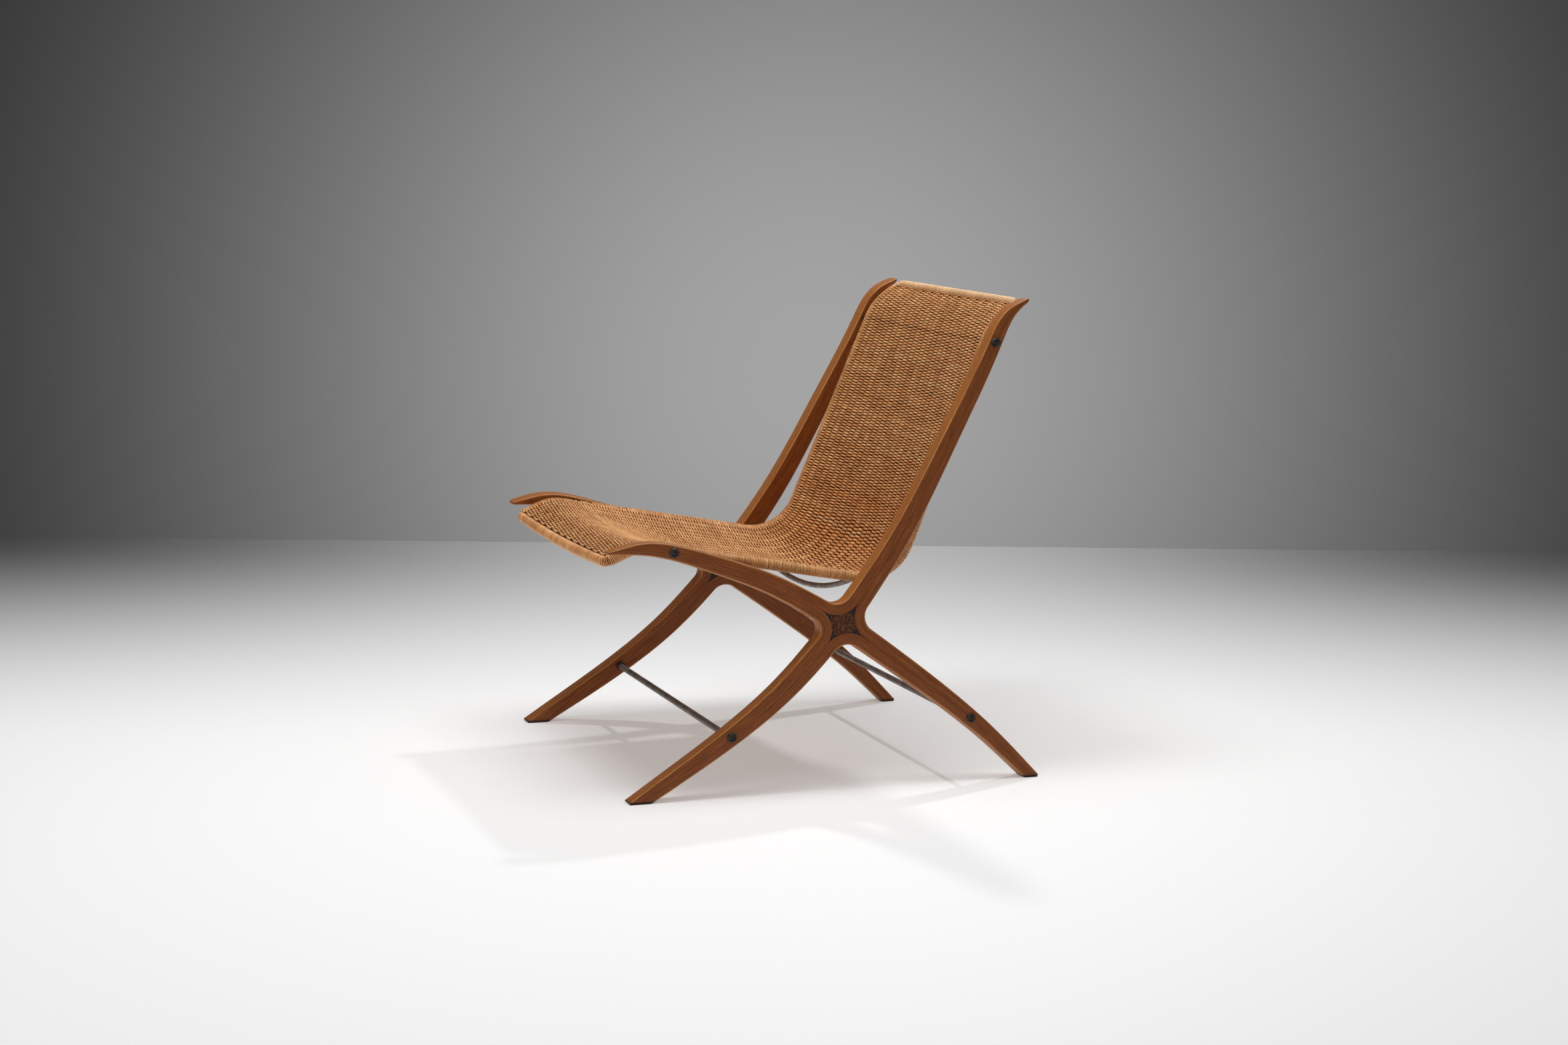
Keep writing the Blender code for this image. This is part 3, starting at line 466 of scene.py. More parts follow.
class InsideCurve:
    """Round inside curve between one arm and the next arm clockwise, which one lamination follows."""

    def __init__(self, first, second, radius):
        self.first = first
        self.second = second
        self.radius = radius
        first_offset = first.line + first.normals(1) * (first.half + radius)[:, None]
        second_offset = second.line + second.normals(-1) * (second.half + radius)[:, None]
        i, j, self.centre = polyline_crossing(first_offset, second_offset)
        self.first_end = np.interp(i, np.arange(len(first.reach)), first.reach)
        self.second_end = np.interp(j, np.arange(len(second.reach)), second.reach)
        self.first_depth = first.half_at(self.first_end)
        self.second_depth = second.half_at(self.second_end)
        toward_first = -first.at(self.first_end, first.normals(1))
        toward_second = -second.at(self.second_end, second.normals(-1))
        self.start_angle = math.atan2(toward_first[1], toward_first[0])
        turn = math.atan2(toward_second[1], toward_second[0]) - self.start_angle
        self.turn = (turn + math.pi) % (2 * math.pi) - math.pi

    def directions(self, shares):
        angles = self.start_angle + self.turn * shares
        return np.stack([np.cos(angles), np.sin(angles)], axis=-1)

    def depths(self, shares):
        return self.first_depth + (self.second_depth - self.first_depth) * shares

    def arm_stations(self, arm, side, end):
        """Glue points, open points and distances from the tip along one of the two arms."""
        distances = end * np.linspace(0.0, 1.0, ARM_STATIONS + 1)[:-1] ** TIP_CROWDING
        middle = arm.at(distances, arm.line)
        normal = arm.at(distances, arm.normals(side))
        return middle + normal * GLUE_LINE / 2, middle + normal * arm.half_at(distances)[:, None], distances

    def stations(self):
        """Glue points, open points and distances from the nearer tip, from the first tip to the second."""
        shares = np.linspace(0.0, 1.0, BEND_STATIONS)
        directions = self.directions(shares)
        glue = self.centre + directions * (self.radius + self.depths(shares) - GLUE_LINE / 2)[:, None]
        bend = (glue, self.centre + directions * self.radius, np.full(BEND_STATIONS, self.first_end))
        first = self.arm_stations(self.first, 1, self.first_end)
        second = [part[::-1] for part in self.arm_stations(self.second, -1, self.second_end)]
        return [np.concatenate(parts) for parts in zip(first, bend, second)]


def make_arms():
    return {
        "front_leg": make_leg(FRONT_LEG_BENDS, FRONT_FOOT_Y, FRONT_FOOT_DEPTH),
        "seat": Arm(SEAT_ARM_BENDS, SEAT_ARM_TIP, horn_half_depth(SEAT_HORN_SWELL), True),
        "back": Arm(BACK_POST_BENDS, BACK_POST_TIP, horn_half_depth(BACK_HORN_SWELL), True),
        "rear_leg": make_leg(REAR_LEG_BENDS, REAR_FOOT_Y, REAR_FOOT_DEPTH)}


def make_curves(arms):
    return {
        "front": InsideCurve(arms["front_leg"], arms["seat"], FRONT_CURVE_RADIUS),
        "top": InsideCurve(arms["seat"], arms["back"], SEAT_CURVE_RADIUS),
        "rear": InsideCurve(arms["back"], arms["rear_leg"], REAR_CURVE_RADIUS),
        "arch": InsideCurve(arms["rear_leg"], arms["front_leg"], ARCH_RADIUS)}


def add_object(name, mesh):
    obj = bpy.data.objects.new(name, mesh)
    bpy.context.scene.collection.objects.link(obj)
    return obj


def object_of(name, bm, material=None, keep_sharp=True):
    """Smooth object of a finished bmesh, with its sharp edges kept if it has any."""
    mesh = bpy.data.meshes.new(name)
    bm.to_mesh(mesh)
    bm.free()
    mesh.shade_smooth()
    if keep_sharp:
        mesh.set_sharp_from_angle(angle=SMOOTH_ANGLE)
    if material:
        mesh.materials.append(material)
    return add_object(name, mesh)


def skin(bm, rings):
    """Faces between each ring of points and the next."""
    count = len(rings[0])
    for ring, following in zip(rings, rings[1:]):
        for k in range(count):
            after = (k + 1) % count
            bm.faces.new((ring[k], ring[after], following[after], following[k]))


def loft(bm, rings):
    """Skin through rings of points, closed at both ends."""
    skin(bm, rings)
    bm.faces.new(rings[0])
    bm.faces.new(rings[-1])


def face_outwards(bm):
    bmesh.ops.recalc_face_normals(bm, faces=bm.faces)
    if bm.calc_volume(signed=True) < 0.0:
        bmesh.ops.reverse_faces(bm, faces=bm.faces)


def dress(piece, slot, *nodes):
    """Ties a finished piece to the chair's body and hides the solids that it stands for; the slot is not
    used.
    """
    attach(piece, BODY)
    if nodes:
        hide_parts(*nodes)
    return piece


def ring_profile(depth, narrowing, sizes):
    """Cross section of a lamination as (inset, height, how far it is an open face)."""
    radius = min(sizes.edge_radius, EDGE_LIMIT * depth)
    half = [(0.0, 0.0, 0.0), (0.0, (depth - radius) / 2, 0.0)]
    for turn in np.linspace(0.0, math.pi / 2, EDGE_STATIONS):
        inset = radius * (1 - math.cos(turn))
        height = depth - radius * (1 - math.sin(turn))
        half.append((inset, height, turn / (math.pi / 2)))
    crown = sizes.crown * min(1.0, depth / sizes.edge_radius)
    middle = [(FRAME_THICKNESS / 2, depth + crown, 1.0)]
    other = [(FRAME_THICKNESS - inset, height, face) for inset, height, face in half[::-1]]
    profile = np.array(half + middle + other)
    profile[:, 0] += (0.5 - profile[:, 0] / FRAME_THICKNESS) * 2.0 * narrowing
    return profile


def make_lamination(name, curve, side, number, stripe, sizes, material):
    """One bent member: a lofted skin, with the grain along it and the veneers parallel to its glue face."""
    glue, face, distances = curve.stations()
    along = lengths_along((glue + face) / 2) + MEMBER_STEP * number
    bm = bmesh.new()
    grain_layer = bm.verts.layers.float_vector.new("grain")
    open_layer = bm.verts.layers.float.new("open_face")
    stripe_layer = bm.verts.layers.float.new("stripe")
    rows = []
    for k in range(len(along)):
        arm = curve.first if k < len(along) / 2 else curve.second
        across = face[k] - glue[k]
        depth = float(np.linalg.norm(across))
        short = max(0.0, 1.0 - distances[k] / sizes.tip_rounding) if arm.is_horn else 0.0
        narrowing = TIP_NARROWING * sizes.tip_rounding * (1.0 - math.sqrt(1.0 - short ** 2))
        row = []
        for inset, height, open_face in ring_profile(depth, narrowing, sizes):
            y, z = glue[k] + across / depth * height
            vert = bm.verts.new(side_place(side, inset, y, z))
            vert[grain_layer] = (along[k], height, inset)
            vert[open_layer] = open_face
            vert[stripe_layer] = stripe
            row.append(vert)
        rows.append(row)
    loft(bm, rows)
    for leg in (curve.first, curve.second):
        if not leg.is_horn:
            point, direction = toe_of(leg)
            trim(bm, side_place(side, 0.0, *point), (0.0, *direction))
    trim(bm, (0.0, 0.0, 0.0), (0.0, 0.0, -1.0))
    face_outwards(bm)
    return object_of(name, bm, material)


def trim(bm, point, normal):
    """Cut away what lies ahead of a plane and close the cut."""
    geometry = [*bm.verts, *bm.edges, *bm.faces]
    section = bmesh.ops.bisect_plane(bm, geom=geometry, plane_co=point, plane_no=normal, clear_outer=True)
    edges = [item for item in section["geom_cut"] if isinstance(item, bmesh.types.BMEdge)]
    if edges:
        bmesh.ops.holes_fill(bm, edges=edges)


def make_key(name, curves, side, material):
    """End-grain key: the curved diamond between the four laminations, set a little below their faces."""
    bm = bmesh.new()
    outline = []
    for i, curve in enumerate(curves):
        neighbours = (curves[i - 1], curves[(i + 1) % len(curves)])
        shares = np.linspace(0.0, 1.0, CURVE_SAMPLES)
        points = curve.centre + curve.directions(shares) * (curve.radius + curve.depths(shares))[:, None]
        clear = np.min([
            np.linalg.norm(points - other.centre, axis=1) - other.radius - other.depths(0.5)
            for other in neighbours], axis=0)
        kept = points[clear >= KEY_NOSE]
        outline.extend(resample(kept, BEND_STATIONS))
    rings = []
    for inset in (KEY_RECESS, FRAME_THICKNESS - KEY_RECESS):
        rings.append([bm.verts.new(side_place(side, inset, y, z)) for y, z in outline])
    loft(bm, rings)
    face_outwards(bm)
    return object_of(name, bm, material)


def rod_along(name, points, radius, material):
    """Round bar along a path, with its own length stored for the finish."""
    bm = bmesh.new()
    reach_layer = bm.verts.layers.float.new("reach")
    points = np.asarray(points)
    reach = lengths_along(points)
    tangents = np.gradient(points, axis=0)
    tangents /= np.linalg.norm(tangents, axis=1)[:, None]
    normal = np.array((0.0, 1.0, 0.0))
    angles = np.linspace(0.0, 2 * math.pi, ROD_SIDES, endpoint=False)
    rows = []
    for point, tangent, distance in zip(points, tangents, reach):
        normal = normal - tangent * normal.dot(tangent)
        normal /= np.linalg.norm(normal)
        across = np.cross(tangent, normal)
        row = []
        for angle in angles:
            vert = bm.verts.new(point + radius * (normal * math.cos(angle) + across * math.sin(angle)))
            vert[reach_layer] = distance
            row.append(vert)
        rows.append(row)
    loft(bm, rows)
    face_outwards(bm)
    return object_of(name, bm, material)


def turned(name, profile):
    """Object turned round the x axis from (along, radius) points, open on the axis or a closed ring."""
    bm = bmesh.new()
    rings = []
    for along, radius in profile:
        if radius == 0.0:
            rings.append([bm.verts.new((along, 0.0, 0.0))])
            continue
        angles = [2 * math.pi * k / TURNED_SIDES for k in range(TURNED_SIDES)]
        rings.append([bm.verts.new((along, radius * math.cos(a), radius * math.sin(a))) for a in angles])
    pairs = list(zip(rings, rings[1:]))
    if profile[0][1] > 0.0:
        pairs.append((rings[-1], rings[0]))
    for first, second in pairs:
        for k in range(TURNED_SIDES):
            after = (k + 1) % TURNED_SIDES
            corners = [first[k % len(first)], first[after % len(first)]]
            corners += [second[after % len(second)], second[k % len(second)]]
            bm.faces.new(list(dict.fromkeys(corners)))
    face_outwards(bm)
    return object_of(name, bm)


def rounded_path(corners, radii):
    """Points of a flat or bent path through corners, each rounded to its radius."""
    corners = [Vector(corner) for corner in corners]
    points = [corners[0]]
    for before, corner, after, radius in zip(corners, corners[1:], corners[2:], radii):
        back = (before - corner).normalized()
        ahead = (after - corner).normalized()
        half = back.angle(ahead) / 2
        centre = corner + (back + ahead).normalized() * (radius / math.sin(half))
        spoke = corner + back * (radius / math.tan(half)) - centre
        axis = back.cross(ahead).normalized()
        turn = math.pi - 2 * half
        for k in range(ARC_STATIONS + 1):
            points.append(centre + Matrix.Rotation(-turn * k / ARC_STATIONS, 3, axis) @ spoke)
    points.append(corners[-1])
    return np.array(points)


class CaneShell:
    """Surface of the woven shell: reach runs up the side rails, across runs from right (-1) to left (1)."""

    def __init__(self, arms):
        seat_screw = arms["seat"].at(SEAT_HORN_SWELL, arms["seat"].line)
        back_screw = arms["back"].at(BACK_HORN_SWELL, arms["back"].line)
        seat_ahead = np.array([-math.cos(SEAT_PITCH), math.sin(SEAT_PITCH)])
        front_ahead = np.array([-math.cos(FRONT_DROP), -math.sin(FRONT_DROP)])
        back_up = np.array([math.cos(BACK_ANGLE), math.sin(BACK_ANGLE)])
        top_ahead = np.array([math.cos(TOP_ROLL), math.sin(TOP_ROLL)])
        crest_run = CREST_RADIUS * math.tan((SEAT_PITCH + FRONT_DROP) / 2)
        roll_run = TOP_ROLL_RADIUS * math.tan((BACK_ANGLE - TOP_ROLL) / 2)
        corner_run = CORNER_RADIUS + CORNER_STRAIGHT
        crest = seat_screw + seat_ahead * (SEAT_AHEAD_OF_SCREW + crest_run)
        self.front = crest + front_ahead * (crest_run + FRONT_LIP + corner_run)
        self.front_back = -front_ahead
        shares = np.linalg.solve(np.stack([-seat_ahead, back_up], axis=1), back_screw - seat_screw)
        bend = seat_screw - seat_ahead * shares[0]
        roll = back_screw + back_up * (BACK_ABOVE_SCREW + roll_run)
        self.top = roll + top_ahead * (roll_run + TOP_LIP + corner_run)
        self.top_back = -top_ahead
        corners = [(0.0, *corner) for corner in (self.front, crest, bend, roll, self.top)]
        path = rounded_path(corners, [CREST_RADIUS, SEAT_BEND_RADIUS, TOP_ROLL_RADIUS])[:, 1:]
        self.line = resample(path, OVERSAMPLING * CURVE_SAMPLES)
        self.reach = lengths_along(self.line)
        self.length = self.reach[-1]
        slope = np.gradient(self.line, axis=0)
        self.slope = slope / np.linalg.norm(slope, axis=1)[:, None]

    def dish(self, reach):
        """How far the middle of the cane hangs below its side rails."""
        seat = FRONT_SAG + (SEAT_DISH - FRONT_SAG) * smoothstep(reach / SEAT_DISH_RUN)
        up_back = smoothstep((reach / self.length - BACK_DISH_START) / BACK_DISH_RUN)
        end = np.clip((self.length - reach) / (TOP_DISH_RUN * self.length), 0.0, 1.0)
        return (seat + (BACK_DISH - SEAT_DISH) * up_back) * end * (2.0 - end)

    def rail(self, side, reach):
        """Points on the middle of a side rail."""
        y, z = columns_at(reach, self.reach, self.line).T
        return side_place(side, RAIL_INSET, y, z)

    def upward(self, reach):
        """Unit normals of the shell on the sitter's side, at its side rails."""
        slope = columns_at(reach, self.reach, self.slope)
        return np.stack([np.zeros(len(slope)), -slope[:, 1], slope[:, 0]], axis=-1)

    def surface(self, across, reach, height):
        """Points a given height above the plane of the side rails, hung to the dish of the shell."""
        across, reach, height = (a.astype(float) for a in np.broadcast_arrays(across, reach, height))
        edge = self.rail(LEFT, reach)
        hang = self.dish(reach) * (1.0 - across ** 2)
        edge[:, 0] *= across
        return edge + self.upward(reach) * (height - hang)[:, None]

    def stretch(self, across, reach):
        """How much further apart the dish holds two rows than the side rails do, at least 1."""
        ahead = self.surface(across, reach + STRETCH_STEP / 2, CANE_MIDDLE)
        behind = self.surface(across, reach - STRETCH_STEP / 2, CANE_MIDDLE)
        return np.maximum(np.linalg.norm(ahead - behind, axis=1) / STRETCH_STEP, 1.0)


def new_tree(name, sockets):
    """Geometry tree with a geometry going in and out and further named inputs."""
    tree = bpy.data.node_groups.new(name, "GeometryNodeTree")
    tree.interface.new_socket("Geometry", in_out="OUTPUT", socket_type="NodeSocketGeometry")
    tree.interface.new_socket("Geometry", in_out="INPUT", socket_type="NodeSocketGeometry")
    for label, kind in sockets.items():
        tree.interface.new_socket(label, in_out="INPUT", socket_type=kind)
    return tree


def add(tree, kind, inputs=None, **settings):
    """Adds a node with its settings, and fills or links its inputs by name or number."""
    made = tree.nodes.new(kind)
    for key, value in settings.items():
        setattr(made, key, value)
    for key, value in (inputs or {}).items():
        if isinstance(value, bpy.types.NodeSocket):
            tree.links.new(value, made.inputs[key])
        else:
            made.inputs[key].default_value = value
    return made


def ended(tree, geometry, material):
    """The tree itself, ended with its geometry made real and given its material."""
    real = add(tree, "GeometryNodeRealizeInstances", {"Geometry": geometry}).outputs[0]
    done = add(tree, "GeometryNodeSetMaterial", {"Geometry": real, "Material": material}).outputs[0]
    add(tree, "NodeGroupOutput", {0: done})
    return tree


def grow(name, base, tree, values):
    """Plain mesh object that a geometry tree grows from a base mesh."""
    obj = add_object(name, base)
    modifier = obj.modifiers.new(tree.name, "NODES")
    modifier.node_group = tree
    for item in tree.interface.items_tree:
        if item.in_out == "INPUT" and item.name in values:
            modifier[item.identifier] = values[item.name]
    depsgraph = bpy.context.evaluated_depsgraph_get()
    mesh = bpy.data.meshes.new_from_object(obj.evaluated_get(depsgraph))
    obj.modifiers.clear()
    obj.data = mesh
    mesh.name = name
    bpy.data.meshes.remove(base)
    return obj


def strand_tree():
    """Strands along polylines: each swings over and under as its phase says, then gets an oval section."""
    tree = new_tree("cane_strands", {
        "Rise": "NodeSocketFloat", "Flatness": "NodeSocketFloat", "Width": "NodeSocketFloat",
        "Thickness": "NodeSocketFloat", "Sides": "NodeSocketInt", "Material": "NodeSocketMaterial"})
    given = add(tree, "NodeGroupInput").outputs
    read = "GeometryNodeInputNamedAttribute"
    lift = add(tree, read, {"Name": "lift"}, data_type="FLOAT_VECTOR").outputs[0]
    phase = add(tree, read, {"Name": "phase"}, data_type="FLOAT").outputs[0]
    swing = add(tree, read, {"Name": "swing"}, data_type="FLOAT").outputs[0]
    girth = add(tree, read, {"Name": "girth"}, data_type="FLOAT").outputs[0]
    turn = add(tree, "ShaderNodeMath", {0: phase, 1: math.pi}, operation="MULTIPLY").outputs[0]
    wave = add(tree, "ShaderNodeMath", {0: turn}, operation="COSINE").outputs[0]
    size = add(tree, "ShaderNodeMath", {0: wave}, operation="ABSOLUTE").outputs[0]
    flat = add(tree, "ShaderNodeMath", {0: size, 1: given["Flatness"]}, operation="POWER").outputs[0]
    sign = add(tree, "ShaderNodeMath", {0: wave}, operation="SIGN").outputs[0]
    shaped = add(tree, "ShaderNodeMath", {0: flat, 1: sign}, operation="MULTIPLY").outputs[0]
    scaled = add(tree, "ShaderNodeMath", {0: shaped, 1: swing}, operation="MULTIPLY").outputs[0]
    still = add(tree, "ShaderNodeMath", {0: 1.0, 1: swing}, operation="SUBTRACT").outputs[0]
    crest = add(tree, "ShaderNodeMath", {0: scaled, 1: still}, operation="ADD").outputs[0]
    raised = add(tree, "ShaderNodeMath", {0: scaled, 1: given["Rise"]}, operation="MULTIPLY").outputs[0]
    offset = add(tree, "ShaderNodeVectorMath", {0: lift, "Scale": raised}, operation="SCALE").outputs[0]
    marked = add(tree, "GeometryNodeStoreNamedAttribute", {
        "Geometry": given["Geometry"], "Name": "crest", "Value": crest}, data_type="FLOAT").outputs[0]
    moved = add(tree, "GeometryNodeSetPosition", {"Geometry": marked, "Offset": offset}).outputs[0]
    path = add(tree, "GeometryNodeMeshToCurve", {"Mesh": moved}).outputs[0]
    upright = add(tree, "GeometryNodeSetCurveNormal", {"Curve": path, "Normal": lift}, mode="FREE").outputs[0]
    circle = add(tree, "GeometryNodeCurvePrimitiveCircle", {
        "Resolution": given["Sides"], "Radius": 0.5}).outputs[0]
    oval = add(tree, "ShaderNodeCombineXYZ", {0: given["Thickness"], 1: given["Width"], 2: 1.0}).outputs[0]
    section = add(tree, "GeometryNodeTransform", {"Geometry": circle, "Scale": oval}).outputs[0]
    strands = add(tree, "GeometryNodeCurveToMesh", {
        "Curve": upright, "Profile Curve": section, "Scale": girth, "Fill Caps": True}).outputs[0]
    smooth = add(tree, "GeometryNodeSetShadeSmooth", {"Geometry": strands}).outputs[0]
    return ended(tree, smooth, given["Material"])


def winding_tree():
    """Turns of cane side by side along a rail, each a little different from the next."""
    tree = new_tree("cane_winding", {
        "Pitch": "NodeSocketFloat", "Turn": "NodeSocketObject", "Tilt": "NodeSocketFloat",
        "Looseness": "NodeSocketFloat", "Run": "NodeSocketFloat", "Seed": "NodeSocketInt",
        "Material": "NodeSocketMaterial"})
    given = add(tree, "NodeGroupInput").outputs
    path = add(tree, "GeometryNodeMeshToCurve", {"Mesh": given["Geometry"]}).outputs[0]
    even = add(tree, "GeometryNodeResampleCurve", {
        "Curve": path, "Length": given["Pitch"]}, mode="LENGTH").outputs[0]
    places = add(tree, "GeometryNodeCurveToPoints", {"Curve": even}, mode="EVALUATED").outputs
    girth = add(tree, "GeometryNodeInputNamedAttribute", {"Name": "girth"}, data_type="FLOAT").outputs[0]
    back = add(tree, "ShaderNodeMath", {0: given["Tilt"], 1: -1.0}, operation="MULTIPLY").outputs[0]
    lean = add(tree, "FunctionNodeRandomValue", {
        "Min": back, "Max": given["Tilt"], "Seed": given["Seed"]}, data_type="FLOAT_VECTOR").outputs[0]
    lean_turn = add(tree, "FunctionNodeEulerToRotation", {0: lean}).outputs[0]
    turned_by = add(tree, "FunctionNodeRotateRotation", {
        0: places["Rotation"], 1: lean_turn}, rotation_space="LOCAL").outputs[0]
    slack = add(tree, "ShaderNodeMath", {0: given["Looseness"], 1: 1.0}, operation="ADD").outputs[0]
    loose = add(tree, "FunctionNodeRandomValue", {
        2: 1.0, 3: slack, "Seed": given["Seed"]}, data_type="FLOAT")
    wide = add(tree, "ShaderNodeMath", {0: girth, 1: loose.outputs[1]}, operation="MULTIPLY").outputs[0]
    scale = add(tree, "ShaderNodeCombineXYZ", {0: wide, 1: wide, 2: 1.0}).outputs[0]
    turn = add(tree, "GeometryNodeObjectInfo", {"Object": given["Turn"]}).outputs["Geometry"]
    turns = add(tree, "GeometryNodeInstanceOnPoints", {
        "Points": places["Points"], "Instance": turn, "Rotation": turned_by, "Scale": scale}).outputs[0]
    count = add(tree, "GeometryNodeInputIndex").outputs[0]
    run = add(tree, "ShaderNodeMath", {0: count, 1: given["Run"]}, operation="DIVIDE").outputs[0]
    number = add(tree, "ShaderNodeMath", {0: run}, operation="FLOOR").outputs[0]
    shade = add(tree, "FunctionNodeRandomValue", {
        "ID": number, "Seed": given["Seed"]}, data_type="FLOAT").outputs[1]
    toned = add(tree, "GeometryNodeStoreNamedAttribute", {
        "Geometry": turns, "Name": "tone", "Value": shade}, data_type="FLOAT", domain="INSTANCE").outputs[0]
    loose_turns = add(tree, "GeometryNodeRealizeInstances", {"Geometry": toned}).outputs[0]
    outside = add(tree, "GeometryNodeInputNormal").outputs[0]
    lifted = add(tree, "GeometryNodeStoreNamedAttribute", {
        "Geometry": loose_turns, "Name": "lift", "Value": outside}, data_type="FLOAT_VECTOR").outputs[0]
    # The crest that the cane reads is how much a turn shows: its sides between turns are painted dark, partly
    # stain and partly painted shade.
    bare = add(tree, "GeometryNodeInputNamedAttribute", {"Name": "bare"}, data_type="FLOAT").outputs[0]
    marked = add(tree, "GeometryNodeStoreNamedAttribute", {
        "Geometry": lifted, "Name": "crest", "Value": bare}, data_type="FLOAT").outputs[0]
    return ended(tree, marked, given["Material"])


def fastening_tree():
    """One copy of a fastening at each place, turned the way that the place says."""
    tree = new_tree("fastenings", {"Piece": "NodeSocketObject", "Material": "NodeSocketMaterial"})
    given = add(tree, "NodeGroupInput").outputs
    turn = add(tree, "GeometryNodeInputNamedAttribute", {"Name": "turn"}, data_type="FLOAT_VECTOR").outputs[0]
    rotation = add(tree, "FunctionNodeEulerToRotation", {0: turn}).outputs[0]
    piece = add(tree, "GeometryNodeObjectInfo", {"Object": given["Piece"]}).outputs["Geometry"]
    copies = add(tree, "GeometryNodeInstanceOnPoints", {
        "Points": given["Geometry"], "Instance": piece, "Rotation": rotation}).outputs[0]
    return ended(tree, copies, given["Material"])


def new_material(name):
    material = bpy.data.materials.new(name)
    material.use_nodes = True
    material.node_tree.nodes.clear()
    return material


